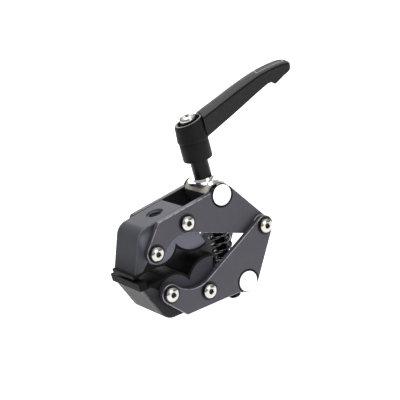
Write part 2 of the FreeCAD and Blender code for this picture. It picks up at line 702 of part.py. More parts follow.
def cross_barrel(label, plate_gap, side_sign):
    """Cross barrel: a drum between the plates, journals in them, and a bore for the spindle."""
    body = new_body(label)
    drum = plate_gap / 2 - S.drum_side_gap
    tip = plate_gap / 2 + S.plate_thickness
    turned(body, label + "_turned", "XY_Plane", [
        (0, -tip), (S.journal_radius - S.journal_chamfer, -tip),
        (S.journal_radius, -(tip - S.journal_chamfer)),
        (S.journal_radius, -drum), (S.drum_radius, -drum), (S.drum_radius, drum),
        (S.journal_radius, drum), (S.journal_radius, tip - S.journal_chamfer),
        (S.journal_radius - S.journal_chamfer, tip), (0, tip),
    ])
    reach = S.drum_radius * 2
    drilled(body, label + "_bore", FreeCAD.Vector(0, 0, -reach.number), FreeCAD.Rotation(),
            S.spindle_radius + S.spindle_clearance, reach * 2)
    for side in (-1, 1):
        flat = body.newObject("PartDesign::SubtractiveBox", f"{label}_flat_{(side + 3) // 2}")
        bind(flat, "Length", S.drum_radius * 2)
        bind(flat, "Width", drum * 2)
        bind(flat, "Height", S.drum_radius - S.drum_flat)
        low = S.drum_flat.number if side > 0 else -S.drum_radius.number
        flat.Placement.Base = FreeCAD.Vector(-S.drum_radius.number, -drum.number, low)
    body.Placement.Base = FreeCAD.Vector(S.barrel_back.number, 0, side_sign * S.barrel_rise.number)
    return body


def on_spindle(item, height=0.0):
    item.Placement.Base = FreeCAD.Vector(S.barrel_back.number, 0, height)
    return item


def spindle():
    body = new_body("spindle")
    low = -S.spindle_drop
    high = NECK_FOOT + S.neck_overlap
    slim = S.spindle_radius - S.spindle_chamfer
    turned(body, "spindle_turned", "XZ_Plane", [
        (0, low), (slim, low), (S.spindle_radius, low + S.spindle_chamfer),
        (S.spindle_radius, high - S.spindle_chamfer), (slim, high), (0, high),
    ])
    return on_spindle(body)


def washers():
    bore = S.spindle_radius + S.spindle_clearance * 2
    flat_top = WASHER_SEAT + S.flat_washer_height
    seat_high = S.barrel_rise - S.drum_flat
    pieces = [
        ring("flat_washer", "XZ_Plane", bore, S.flat_washer_radius, WASHER_SEAT, flat_top),
        ring("collar_washer", "XZ_Plane", bore, S.collar_washer_radius, flat_top, NECK_FOOT),
        ring("upper_spring_seat", "XZ_Plane", bore, S.seat_radius, seat_high - S.seat_height, seat_high),
        ring("lower_spring_seat", "XZ_Plane", bore, S.seat_radius, -seat_high, S.seat_height - seat_high),
    ]
    return [on_spindle(piece) for piece in pieces]


def coil_spring(label, mean_radius, wire_radius, turns, low, high, face_turns):
    """Round-wire compression spring between two heights, wire centre to wire centre.

    face_turns is how many turns one face covers, or 0 for the whole coil.
    """
    path = doc.addObject("Part::Helix", label + "_path")
    bind(path, "Radius", mean_radius)
    bind(path, "Height", high - low)
    bind(path, "Pitch", (high - low) / turns)
    path.SegmentLength = face_turns
    wire = doc.addObject("Part::Circle", label + "_wire")
    bind(wire, "Radius", wire_radius)
    wire.Placement = FreeCAD.Placement(
        FreeCAD.Vector(mean_radius.number, 0, 0), FreeCAD.Rotation(FreeCAD.Vector(1, 0, 0), 90))
    coil = doc.addObject("Part::Sweep", label)
    coil.Label = label
    coil.Sections = [wire]
    doc.recompute()
    coil.Spine = (path, [f"Edge{i + 1}" for i in range(len(path.Shape.Edges))])
    coil.Solid = True
    coil.Frenet = True
    coil.Placement.Base = FreeCAD.Vector(S.barrel_back.number, 0, low.number)
    return coil


def springs():
    span = S.barrel_rise - S.drum_flat - S.seat_height - S.spring_wire_radius - S.spring_end_gap
    jaw = coil_spring("jaw_spring", S.spring_radius, S.spring_wire_radius, S.spring_turns,
                      -span, span, face_turns=0)
    low = LEDGE_TOP + S.lever_washer_height + S.lever_spring_wire_radius + S.spring_end_gap
    high = HEAD_FOOT - S.lever_spring_wire_radius - S.spring_end_gap
    small = coil_spring("lever_spring", S.lever_spring_radius, S.lever_spring_wire_radius,
                        S.lever_spring_turns, low, high, face_turns=1)
    return [jaw, small]


# ---------------------------------------------------------------- lever

def serrations(body, name, root, tip, height):
    """Sawtooth ring outline round the spindle axis at one height."""
    sketch = new_sketch(body, name + "_outline", "XY_Plane")
    corners = []
    for i in range(2 * SPLINE_TEETH):
        angle = math.pi * i / SPLINE_TEETH
        reach = tip if i % 2 == 0 else root
        corners.append((reach * math.cos(angle), reach * math.sin(angle)))
    polygon(sketch, corners)
    sketch.AttachmentOffset = FreeCAD.Placement(FreeCAD.Vector(0, 0, height.number), FreeCAD.Rotation())
    return sketch


def lever_insert():
    """Steel insert: neck below, serrated head above, bores for spindle and lever screw."""
    body = new_body("lever_insert")
    turned(body, "lever_insert_neck", "XZ_Plane", [
        (0, NECK_FOOT), (S.neck_radius, NECK_FOOT), (S.neck_radius, SPLINE_FOOT + 0.5),
        (0, SPLINE_FOOT + 0.5),
    ])
    sketch = serrations(body, "lever_insert_teeth", S.spline_radius - S.spline_depth,
                        S.spline_radius, SPLINE_FOOT)
    teeth = body.newObject("PartDesign::Pad", "lever_insert_teeth")
    teeth.Profile = sketch
    bind(teeth, "Length", S.spline_length)
    drilled(body, "lever_insert_socket", FreeCAD.Vector(0, 0, NECK_FOOT.number - 1),
            FreeCAD.Rotation(), S.spindle_radius, S.neck_overlap + 1)
    screw_hole = SPLINE_TOP - NECK_FOOT - S.neck_overlap - 1
    drilled(body, "lever_insert_thread", FreeCAD.Vector(0, 0, SPLINE_TOP.number - screw_hole.number),
            FreeCAD.Rotation(), S.lever_screw_radius + S.screw_clearance, screw_hole + 1)
    return on_spindle(body)


def lever_screw():
    """Retaining screw: domed cross-recess head over a long shank."""
    body = new_body("lever_screw")
    foot = NECK_FOOT + S.neck_overlap + 2
    dome = S.lever_head_height * 0.3
    turned(body, "lever_screw_turned", "XZ_Plane", [
        (0, foot), (S.lever_screw_radius, foot), (S.lever_screw_radius, HEAD_FOOT),
        (S.lever_head_radius, HEAD_FOOT), (S.lever_head_radius, HEAD_TOP - dome * 2),
        (S.lever_head_radius * 0.86, HEAD_TOP - dome), (S.lever_head_radius * 0.55, HEAD_TOP - dome * 0.3),
        (0, HEAD_TOP),
    ])
    for i in range(2):
        slot = body.newObject("PartDesign::SubtractiveBox", f"lever_screw_cross_{i + 1}")
        bind(slot, "Length", S.lever_head_radius * 1.2)
        bind(slot, "Width", S.lever_head_radius * 0.26)
        bind(slot, "Height", S.lever_head_height)
        turn = FreeCAD.Rotation(FreeCAD.Vector(0, 0, 1), 90 * i)
        corner = FreeCAD.Vector(-S.lever_head_radius.number * 0.6, -S.lever_head_radius.number * 0.13, 0)
        floor = HEAD_TOP.number - S.lever_head_height.number * 0.75
        slot.Placement = FreeCAD.Placement(turn.multVec(corner) + FreeCAD.Vector(0, 0, floor), turn)
    return on_spindle(body)


def lever_washer():
    inner = S.lever_screw_radius + 0.3
    outer = S.spring_pocket_radius - 0.2
    return on_spindle(ring("lever_spring_washer", "XZ_Plane", inner, outer,
                           LEDGE_TOP, LEDGE_TOP + S.lever_washer_height))


def lever_arm_outline(body):
    """Side view of the lever arm: straight rise, crowned end, thumb notch below the tip."""
    sketch = new_sketch(body, "lever_arm_outline", "XZ_Plane")
    root = S.hub_radius * 0.5
    reach = S.arm_reach
    top = HUB_TOP
    polygon(sketch, [
        (root, top - 0.4), (S.hub_radius, top + 1.2), (reach * 0.36, top + 6.8), (reach * 0.58, top + 11.8),
        (reach * 0.685, top + 14.1), (reach * 0.79, top + 15.2), (reach * 0.91, top + 15.9),
        (reach * 0.962, top + 15.2), (reach, top + 12.9), (reach, top + 11.0), (reach * 0.962, top + 8.9),
        (reach * 0.81, top + 3.5), (reach * 0.788, top + 5.0), (reach * 0.76, top + 5.2),
        (reach * 0.443, top - 3.9), (S.hub_radius, top - 13.2), (root, top - 14.6),
    ])
    return sketch


def cut_through(body, sketch, name):
    """Cut a sketch right through the body, both ways."""
    cut = body.newObject("PartDesign::Pocket", name)
    cut.Profile = sketch
    cut.Type = "ThroughAll"
    cut.Midplane = True


def lever_handle():
    """Die-cast lever: hub with a seam, raised arm, serrated bore, spring pocket and recess."""
    body = new_body("lever_handle")
    seam = HUB_FOOT + S.hub_seam
    turned(body, "hub_outside", "XZ_Plane", [
        (0, HUB_FOOT), (S.hub_foot_radius - 0.8, HUB_FOOT), (S.hub_foot_radius, HUB_FOOT + 0.8),
        (S.hub_seam_radius, seam), (S.hub_seam_radius + S.hub_overhang, seam + 0.5),
        (S.hub_radius, HUB_TOP), (0, HUB_TOP),
    ])
    sloped = new_sketch(body, "hub_slope_outline", "XZ_Plane")
    beyond = S.hub_radius + 2
    middle = HUB_TOP - S.hub_top_drop
    drop = beyond * S.hub_slant
    polygon(sloped, [(-beyond, middle - drop), (beyond, middle + drop), (beyond, HUB_TOP + 3),
                     (-beyond, HUB_TOP + 3)])
    cut_through(body, sloped, "hub_slope")
    pad(body, lever_arm_outline(body), "lever_arm", S.arm_width)
    tapered = new_sketch(body, "arm_taper_outline", "XY_Plane")
    half_root, half_tip = S.arm_width / 2, S.arm_tip_width / 2
    reach = S.arm_reach
    keep = S.arm_width
    polygon(tapered, [
        (S.hub_radius + 2, half_root), (reach - 3, half_tip), (reach + 1, half_tip - 3),
        (reach + 1, -half_tip + 3), (reach - 3, -half_tip), (S.hub_radius + 2, -half_root),
        (S.hub_radius + 2, -keep), (reach + keep, -keep), (reach + keep, keep), (S.hub_radius + 2, keep),
    ])
    cut_through(body, tapered, "arm_taper")
    teeth_foot = SPLINE_TOP - S.lever_bite
    ledge_foot = SPLINE_TOP + S.lever_seat_gap
    wide = S.spline_radius + S.spline_clearance
    narrow = wide - S.spline_depth
    turned(body, "hub_inside", "XZ_Plane", [
        (0, HUB_FOOT - 1), (wide, HUB_FOOT - 1), (wide, teeth_foot), (narrow, teeth_foot),
        (narrow, ledge_foot), (S.lever_screw_radius + 0.5, ledge_foot),
        (S.lever_screw_radius + 0.5, LEDGE_TOP), (S.spring_pocket_radius, LEDGE_TOP),
        (S.spring_pocket_radius, HUB_TOP - S.head_recess_depth - 0.4),
        (S.head_recess_radius, HUB_TOP - S.head_recess_depth),
        (S.head_recess_radius + S.recess_flare, HUB_TOP),
        (S.head_recess_radius + S.recess_flare, HUB_TOP + 6), (0, HUB_TOP + 6),
    ], groove=True)
    sketch = serrations(body, "hub_teeth", narrow, wide, ledge_foot)
    teeth = body.newObject("PartDesign::Pocket", "hub_teeth")
    teeth.Profile = sketch
    bind(teeth, "Length", ledge_foot - teeth_foot)
    turn = FreeCAD.Rotation(FreeCAD.Vector(0, 0, 1), S.lever_heading.number)
    body.Placement = FreeCAD.Placement(FreeCAD.Vector(S.barrel_back.number, 0, 0), turn)
    return body


# ---------------------------------------------------------------- the whole clamp

def build():
    """Every node of the clamp, in the order in which it goes together."""
    lower_seat = CLAMP_WIDTH / 2
    upper_seat = S.block_width / 2 + S.plate_thickness
    bite = S.plate_thickness + S.arm_screw_bite
    arm_spots = (FRONT_SCREW, REAR_SCREW)
    pieces = [
        jaw_block("upper_jaw_block", S.block_width, lower=False),
        jaw_pad("upper_jaw_pad", S.block_width, S.upper_lip_thickness, lower=False),
        jaw_block("lower_jaw_block", LOWER_WIDTH, lower=True),
        jaw_pad("lower_jaw_pad", LOWER_WIDTH, S.lower_lip_thickness, lower=True),
        screw_group("upper_arm_screws", arm_spots, upper_seat, bite),
        screw_group("lower_arm_screws", arm_spots, lower_seat, bite, lower=True),
        screw_group("pivot_screws", (PIVOT,), lower_seat, S.pivot_screw_bite),
        pivot_shaft(),
    ]
    for name, side in (("near", -1), ("far", 1)):
        pieces.append(side_plate(f"upper_{name}_plate", False, side))
        pieces.append(side_plate(f"lower_{name}_plate", True, side))
    pieces += pivot_rings()
    pieces.append(cross_barrel("upper_barrel", S.block_width, 1))
    pieces.append(cross_barrel("lower_barrel", LOWER_WIDTH, -1))
    pieces += [spindle(), lever_insert(), lever_screw(), lever_washer(), lever_handle()]
    pieces += washers()
    pieces += springs()
    return pieces


def check(pieces):
    """Stop on any failed feature, empty shape or cut that removed nothing."""
    for item in doc.Objects:
        for state in ("Invalid", "Error"):
            if state in item.State:
                raise RuntimeError(f"{item.Name} is {item.State}")
        if item.TypeId.startswith(("PartDesign::Pocket", "PartDesign::Groove", "PartDesign::Subtractive")):
            if item.Shape.Volume >= item.BaseFeature.Shape.Volume - 1e-3:
                raise RuntimeError(f"{item.Name} cuts nothing")
    for piece in pieces:
        if piece.Shape.isNull() or not piece.Shape.isValid() or not piece.Shape.Solids:
            raise RuntimeError(f"{piece.Label} has no valid shape")


def export(pieces):
    os.makedirs("parts", exist_ok=True)
    for piece in pieces:
        piece.Shape.exportStep(os.path.join("parts", piece.Label + ".step"))
        print(piece.Label, len(piece.Shape.Solids), "solids", round(piece.Shape.Volume, 1), "mm3")


nodes = build()
doc.recompute()
check(nodes)
export(nodes)
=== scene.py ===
import json
import logging
import math
from dataclasses import dataclass
from enum import Enum
from typing import Callable, Sequence

import bmesh
import bpy
import numpy as np
from mathutils import Matrix, Vector


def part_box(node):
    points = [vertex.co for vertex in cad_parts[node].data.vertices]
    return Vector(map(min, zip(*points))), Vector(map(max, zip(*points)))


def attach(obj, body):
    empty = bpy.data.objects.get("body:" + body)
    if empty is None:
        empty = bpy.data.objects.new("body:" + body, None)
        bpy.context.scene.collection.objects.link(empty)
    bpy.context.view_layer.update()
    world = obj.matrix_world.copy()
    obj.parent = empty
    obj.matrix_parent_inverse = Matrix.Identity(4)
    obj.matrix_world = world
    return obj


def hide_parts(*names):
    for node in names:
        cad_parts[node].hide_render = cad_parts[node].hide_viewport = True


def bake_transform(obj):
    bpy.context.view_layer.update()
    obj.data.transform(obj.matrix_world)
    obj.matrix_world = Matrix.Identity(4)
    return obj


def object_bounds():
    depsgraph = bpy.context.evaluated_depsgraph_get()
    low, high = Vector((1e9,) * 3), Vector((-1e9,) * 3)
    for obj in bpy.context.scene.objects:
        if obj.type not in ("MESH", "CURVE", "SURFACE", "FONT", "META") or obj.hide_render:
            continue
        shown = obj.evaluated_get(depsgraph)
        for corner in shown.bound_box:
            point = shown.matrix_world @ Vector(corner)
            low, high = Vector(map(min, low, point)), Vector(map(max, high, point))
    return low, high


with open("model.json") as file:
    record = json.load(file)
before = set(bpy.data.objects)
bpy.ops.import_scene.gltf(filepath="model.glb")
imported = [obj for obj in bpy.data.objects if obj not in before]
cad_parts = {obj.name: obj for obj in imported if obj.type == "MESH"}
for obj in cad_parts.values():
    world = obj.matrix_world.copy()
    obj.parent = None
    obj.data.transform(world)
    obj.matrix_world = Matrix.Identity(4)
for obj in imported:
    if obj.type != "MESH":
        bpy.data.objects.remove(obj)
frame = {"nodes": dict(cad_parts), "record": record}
CAD_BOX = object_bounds()
MM = 0.001

# Centres seen from the side, as (x, z) in mm. The lower arm has the same ones at -z.
BARREL = (36.6, 28.4)
FRONT_SCREW = (-16.15, 12.7)
REAR_SCREW = (8.7, 21.85)
EYE_SCREW = (58.0, 0.0)

logging.basicConfig(level=logging.INFO, format="%(message)s")
LOG = logging.getLogger("super_clamp")


class Body(Enum):
    """The moving bodies that new pieces ride on."""

    LOWER_ARM = "lower_arm"
    UPPER_ARM = "upper_arm"
    UPPER_BARREL = "upper_barrel"
    SPRING_FOOT = "spring_foot"
    SPINDLE = "spindle"
    LIFT_WASHER = "lever_lift_washer"
    LEVER = "lever"


class Slot(Enum):
    """The finishes that the record names."""

    BLOCK = "anodised_block"
    PLATE = "anodised_plate"
    RUBBER = "jaw_rubber"
    STAINLESS = "stainless_steel"
    TURNED = "turned_steel"
    POLYMER = "slide_polymer"
    CHROME = "bright_chrome"
    SPRING = "spring_steel"
    OXIDE = "black_oxide_steel"
    CAST = "textured_black_cast"


Pair = tuple[float, float]
Triple = tuple[float, float, float]
Looks = dict[Slot, bpy.types.Material]


# -------------------------------- shader expressions

class Value:
    """A number from a node's socket, on which + - * / and ** add Math nodes."""

    def __init__(self, graph: "Graph", socket: bpy.types.NodeSocket) -> None:
        """Args: graph: the material's graph. socket: the output that holds the number."""
        self.graph = graph
        self.socket = socket

    def _math(self, operation: str, first: object, second: object) -> "Value":
        """Args: operation: Math node's operation. first, second: its terms. Returns: the result."""
        return self.graph.node("ShaderNodeMath", {"operation": operation}, {0: first, 1: second})

    def __add__(self, other: object) -> "Value":
        """Sum."""
        return self._math("ADD", self, other)

    __radd__ = __add__

    def __sub__(self, other: object) -> "Value":
        """Difference."""
        return self._math("SUBTRACT", self, other)

    def __rsub__(self, other: object) -> "Value":
        """Difference from a plain number."""
        return self._math("SUBTRACT", other, self)

    def __mul__(self, other: object) -> "Value":
        """Product."""
        return self._math("MULTIPLY", self, other)

    __rmul__ = __mul__

    def __truediv__(self, other: object) -> "Value":
        """Quotient."""
        return self._math("DIVIDE", self, other)

    def __pow__(self, other: object) -> "Value":
        """Power."""
        return self._math("POWER", self, other)

    def size(self) -> "Value":
        """Absolute value."""
        return self._math("ABSOLUTE", self, 0.0)

    def ramp(self, low: float, high: float) -> "Value":
        """Args: low, high: where the smooth step starts and ends. Returns: 0 to 1."""
        return self.graph.node("ShaderNodeMapRange", {"interpolation_type": "SMOOTHSTEP"},
                               {"Value": self, "From Min": low, "From Max": high})

    def between(self, low: float, high: float, soft: float) -> "Value":
        """Args: low, high: a band's ends. soft: width of its edges. Returns: 1 inside, 0 outside."""
        return self.ramp(low - soft, low + soft) * (1 - self.ramp(high - soft, high + soft))


class Graph:
    """The node graph of a material or of the studio's surroundings."""

    def __init__(self, holder: bpy.types.ID, shader: str = "Principled BSDF", layout: str = "Object") -> None:
        """Args: holder: a material or world. shader: its main node. layout: coordinates of its patterns."""
        self.holder = holder
        holder.use_nodes = True
        self.tree = holder.node_tree
        self.shader = self.tree.nodes[shader]
        self.place = self.node("ShaderNodeTexCoord", {}, {}, out=layout)

    def node(self, kind: str, settings: dict, inputs: dict, out: object = 0) -> Value:
        """Add one node.

        Args:
            kind: the node's type.
            settings: its properties, set before its sockets.
            inputs: plain values or Values by socket.
            out: the output to hand back.
        Returns:
            The chosen output.
        """
        made = self.tree.nodes.new(kind)
        for key, setting in settings.items():
            setattr(made, key, setting)
        for key, given in inputs.items():
            self.feed(made.inputs[key], given)
        return Value(self, made.outputs[out])

    def feed(self, socket: bpy.types.NodeSocket, given: object) -> None:
        """Args: socket: an input. given: a Value to link, or a plain value to set."""
        if isinstance(given, Value):
            self.tree.links.new(given.socket, socket)
        else:
            socket.default_value = given

    def axes(self) -> tuple[Value, Value, Value]:
        """Returns: the coordinates x, y and z in mm."""
        return tuple(self.node("ShaderNodeSeparateXYZ", {}, {0: self.place}, out=axis) / MM for axis in "XYZ")

    def painted(self, name: str) -> Value:
        """Args: name: a piece's attribute. Returns: its value, 0 on a piece that has none."""
        return self.node("ShaderNodeAttribute", {"attribute_name": name}, {}, out="Fac")

    def noise(self, grain: float, detail: float = 3.0, stretch: Sequence[float] = (1, 1, 1)) -> Value:
        """Args: grain: cell size in mm. detail: octaves. stretch: scale by axis. Returns: 0 to 1."""
        scale = [part / (grain * MM) for part in stretch]
        mapped = self.node("ShaderNodeMapping", {}, {"Vector": self.place, "Scale": scale})
        return self.node("ShaderNodeTexNoise", {}, {"Vector": mapped, "Scale": 1.0, "Detail": detail})

    def mix(self, share: object, first: object, second: object) -> Value:
        """Args: share: 0 to 1. first, second: colours. Returns: the mixed colour."""
        return self.node("ShaderNodeMix", {"data_type": "RGBA"}, {0: share, 6: first, 7: second}, out=2)

    def bump(self, height: Value, depth: float, strength: float = 1.0) -> None:
        """Args: height: 0 to 1. depth: its full height in mm. strength: the bump's share."""
        sockets = {"Height": height, "Distance": depth * MM, "Strength": strength}
        self.set(Normal=self.node("ShaderNodeBump", {}, sockets))

    def set(self, **sockets: object) -> None:
        """Args: sockets: what each of the shader's sockets gets, with underscores for spaces."""
        for key, given in sockets.items():
            self.feed(self.shader.inputs[key.replace("_", " ")], given)


def rgb(*parts: float) -> tuple[float, float, float, float]:
    """Args: parts: one grey or three linear colour parts. Returns: an opaque colour."""
    red, green, blue = parts if len(parts) == 3 else parts * 3
    return (red, green, blue, 1.0)


def distance(ahead: Value, height: Value, centre: Pair) -> Value:
    """Square root of the summed squares. Args: ahead, height, centre: mm. Returns: mm from the centre."""
    return ((ahead - centre[0]) ** 2.0 + (height - centre[1]) ** 2.0) ** 0.5


# -------------------------------- finishes, some with painted light and shade

@dataclass(frozen=True)
class Anodised:
    """Bead-blasted, anodised aluminium with thin bright lines along its chamfers."""

    name: str
    colour: Triple
    tint: Triple
    worn: Triple
    bands: tuple[Pair, ...]
    wear: float
    sheen: float
    roughness: float = 0.42
    metallic: float = 0.45
    grain: float = 0.22
    edge_softness: float = 0.03
    fleck_gain: float = 1.9

    def build(self) -> bpy.types.Material:
        """Returns: the material."""
        g = Graph(bpy.data.materials.new(self.name))
        ahead, side, rise = g.axes()
        width = side.size()
        cloud = g.noise(9.0, 2.0)
        fine = g.noise(self.grain, 2.0)
        dye_and_painted_light = g.mix(cloud.ramp(0.35, 0.7) * 0.5, rgb(*self.colour), rgb(*self.tint))
        dye_and_painted_light = g.mix(fine.ramp(0.3, 0.75) * 0.16, dye_and_painted_light, rgb(*[c * self.fleck_gain for c in self.colour]))
        edges = [width.between(low, high, self.edge_softness) for low, high in self.bands]
        wear_and_painted_light = sum(edges[1:], edges[0]) * g.noise(2.6, 3.0).ramp(0.28, 0.52)
        # the subclass paints light and shade into the colour here
        dye_and_painted_light, wear_and_painted_light = self.shade(g, dye_and_painted_light, wear_and_painted_light, (ahead, width, rise))
        g.set(Base_Color=g.mix(wear_and_painted_light * self.wear, dye_and_painted_light, rgb(*self.worn)), Specular_IOR_Level=self.sheen)
        g.set(Roughness=self.roughness + fine * 0.1 - wear_and_painted_light * 0.12 + cloud * 0.05)
        g.bump(fine, 0.012, 0.55)
        return g.holder

    def shade(self, g: Graph, dye_and_painted_light: Value, wear_and_painted_light: Value, place: Sequence[Value]) -> tuple[Value, Value]:
        """Paint light and shade into the colour by place, and set how metallic the finish is.

        Args:
            g: the material's graph.
            dye_and_painted_light, wear_and_painted_light: the colour and the chamfers' wear so far.
            place: x, |y| and z in mm.
        Returns:
            The new colour and wear.
        """
        raise NotImplementedError


@dataclass(frozen=True)
class AnodisedPlate(Anodised):
    """The side plates, with painted shade round the barrels' bores, round the screw heads' seats and on the
    upper plates' inner faces.
    """

    # colour of the painted shade
    black: float = 0.004
    hidden_face_shade: Pair = (12.3, 12.7)
    bore_shade_ring: Pair = (7.7, 7.85)
    screw_seat_shade: Pair = (5.5, 6.2)

    def shade(self, g: Graph, dye_and_painted_light: Value, wear_and_painted_light: Value, place: Sequence[Value]) -> tuple[Value, Value]:
        """Paint shade as dark rings round the bores and the screw seats and on the upper plates' inner faces.
        Args, Returns: as above.
        """
        ahead, width, rise = place
        height = rise.size()
        # painted shade in the gap round each barrel's bore
        bore_shade = 1 - distance(ahead, height, BARREL).ramp(*self.bore_shade_ring)
        dye_and_painted_light = g.mix(bore_shade * 0.92, dye_and_painted_light, rgb(self.black))
        # painted shade round each screw head's seat
        for centre in (FRONT_SCREW, REAR_SCREW, EYE_SCREW):
            seat = 1 - distance(ahead, height, centre).ramp(*self.screw_seat_shade)
            dye_and_painted_light = g.mix(seat * 0.92, dye_and_painted_light, rgb(self.black))
        # painted shade on the upper plates' inner faces, which lie in shadow inside the clamp
        dye_and_painted_light = g.mix(width.between(*self.hidden_face_shade, 0.02) * 0.9, dye_and_painted_light, rgb(self.black))
        g.set(Metallic=self.metallic)
        return dye_and_painted_light, wear_and_painted_light * (1 - bore_shade)


@dataclass(frozen=True)
class AnodisedBlock(Anodised):
    """The jaw blocks, with painted shade on the lower arm and at the jaws' front ends and painted light on
    the upper jaw's lobe.
    """

    lower_shade_span: Pair = (-6.0, 6.0)
    front_shade_depth: Pair = (-20.0, -2.0)
    front_shade_height: Pair = (-12.0, -5.0)
    nose_shade: Pair = (-32.5, -26.0)
    lobe_light_start: Pair = (-24.0, -20.0)
    lobe_light_height: Triple = (4.0, 25.0, 2.0)

    def shade(self, g: Graph, dye_and_painted_light: Value, wear_and_painted_light: Value, place: Sequence[Value]) -> tuple[Value, Value]:
        """Paint shade and light in tones that fade along x and z. Args, Returns: as above."""
        ahead, _, rise = place
        # painted shade: the lower half darker
        below = 1 - rise.ramp(*self.lower_shade_span)
        dye_and_painted_light = g.mix(below * 0.45, dye_and_painted_light, rgb(0.008, 0.008, 0.013))
        # painted shade on the lower jaw's front, which faces down and forward
        front = (1 - ahead.ramp(*self.front_shade_depth)) * (1 - rise.ramp(*self.front_shade_height))
        dye_and_painted_light = g.mix(front * 0.75, dye_and_painted_light, rgb(0.007, 0.007, 0.009))
        # painted shade at the jaws' front ends
        nose_shade = 1 - ahead.ramp(*self.nose_shade)
        dye_and_painted_light = g.mix(nose_shade * 0.8, dye_and_painted_light, rgb(0.014, 0.014, 0.018))
        # painted light: the upper jaw's lobe paler
        lobe = ahead.ramp(*self.lobe_light_start) * rise.between(*self.lobe_light_height)
        dye_and_painted_light = g.mix(lobe * 0.9, dye_and_painted_light, rgb(0.13, 0.13, 0.165))
        g.set(Metallic=self.metallic - front * 0.42)
        return dye_and_painted_light, wear_and_painted_light


@dataclass(frozen=True)
class Rubber:
    """Black moulded rubber with a fine stipple and a faint bloom."""

    name: str = "lining_rubber"

    def build(self) -> bpy.types.Material:
        """Returns: the material."""
        g = Graph(bpy.data.materials.new(self.name))
        stipple = g.noise(0.35, 3.0)
        bloom = g.noise(7.0, 3.0)
        g.set(Base_Color=g.mix(bloom.ramp(0.45, 0.8) * 0.5, rgb(0.0012), rgb(0.004, 0.0038, 0.0035)))
        g.set(Roughness=0.42 + bloom * 0.22 + stipple * 0.1, Specular_IOR_Level=0.11)
        g.bump(stipple, 0.03, 0.6)
        return g.holder


@dataclass(frozen=True)
class Metal:
    """Bare, plated or blackened steel with faint machining marks, and painted shade where a piece marks it.
    """

    name: str
    colour: Triple
    stain: Triple
    roughness: float
    marks: float
    mark_stretch: Triple = (1.0, 1.0, 12.0)
    mark_depth: float = 0.004
    coat: float = 0.0

    def build(self) -> bpy.types.Material:
        """Returns: the material."""
        g = Graph(bpy.data.materials.new(self.name))
        marks = g.noise(self.marks, 3.0, self.mark_stretch)
        smear = g.noise(4.0, 3.0)
        spots = g.noise(0.8, 2.0).ramp(0.66, 0.8)
        tone = g.mix(smear.ramp(0.4, 0.75) * 0.6, rgb(*self.colour), rgb(*self.stain))
        tone = g.mix(spots * 0.25, tone, rgb(*[c * 0.6 for c in self.stain]))
        tone = self.plate(g, tone, smear)
        # painted shade wherever a piece marks it: sockets, recesses, screw rims
        g.set(Base_Color=g.mix(g.painted("painted_shade") * 0.97, tone, rgb(0.012)))
        g.set(Roughness=self.roughness + marks * 0.08 + smear * 0.06, Coat_Weight=self.coat,
              Coat_Roughness=0.08)
        g.bump(marks, self.mark_depth, 0.5)
        return g.holder

    def plate(self, g: Graph, tone: Value, smear: Value) -> Value:
        """Make it metal all over. Args: g: graph. tone: colour so far. smear: 0 to 1. Returns: colour."""
        g.set(Metallic=1.0)
        return tone


@dataclass(frozen=True)
class BarrelChrome(Metal):
    """Chrome on the barrels' ends and the washers, and a dull turned face on the barrels between, lightened
    as painted light, with painted shadow low on it and painted shade round the end discs.
    """

    # painted light: the dull face's colour is lightened to stand for light it catches
    dull: Triple = (0.5, 0.47, 0.41)
    dull_stain: Triple = (0.36, 0.34, 0.3)
    body_half: float = 12.4
    flat: Pair = (35.25, 35.35)
    shadow: Pair = (31.0, 31.6)
    disc: float = 6.3

    def plate(self, g: Graph, tone: Value, smear: Value) -> Value:
        """Dull the barrel between the plates, below its flat, in a colour lightened as painted light, paint a
        shadow low on it, and paint shade as a dark ring round each end disc.

        Args:
            g: the material's graph.
            tone: the colour so far.
            smear: a cloudy 0 to 1.
        Returns:
            The colour.
        """
        ahead, side, rise = g.axes()
        height = rise.size()
        ends = side.size().ramp(self.body_half - 0.1, self.body_half + 0.1)
        body = (1 - ends) * (1 - height.ramp(*self.flat))
        # painted light over a duller turned finish on the face between the plates
        tone = g.mix(body, tone, g.mix(smear.ramp(0.3, 0.7), rgb(*self.dull), rgb(*self.dull_stain)))
        # painted shadow on the barrel's lower part
        tone = g.mix(body * (1 - height.ramp(*self.shadow)) * 0.95, tone, rgb(0.004))
        g.set(Metallic=1 - body * 0.85)
        # painted shade in the gap round each end disc
        ring = ends * distance(ahead, height, BARREL).ramp(self.disc, self.disc + 0.15)
        return g.mix(ring * 0.97, tone, rgb(0.006))


@dataclass(frozen=True)
class Polymer:
    """Off-white sliding plastic, slightly translucent looking."""

    name: str = "thrust_washer_plastic"

    def build(self) -> bpy.types.Material:
        """Returns: the material."""
        g = Graph(bpy.data.materials.new(self.name))
        cloud = g.noise(2.5, 3.0)
        g.set(Base_Color=g.mix(cloud, rgb(0.62, 0.6, 0.54), rgb(0.72, 0.71, 0.66)))
        g.set(Roughness=0.4 + cloud * 0.12)
        g.bump(g.noise(0.3), 0.01, 0.4)
        return g.holder


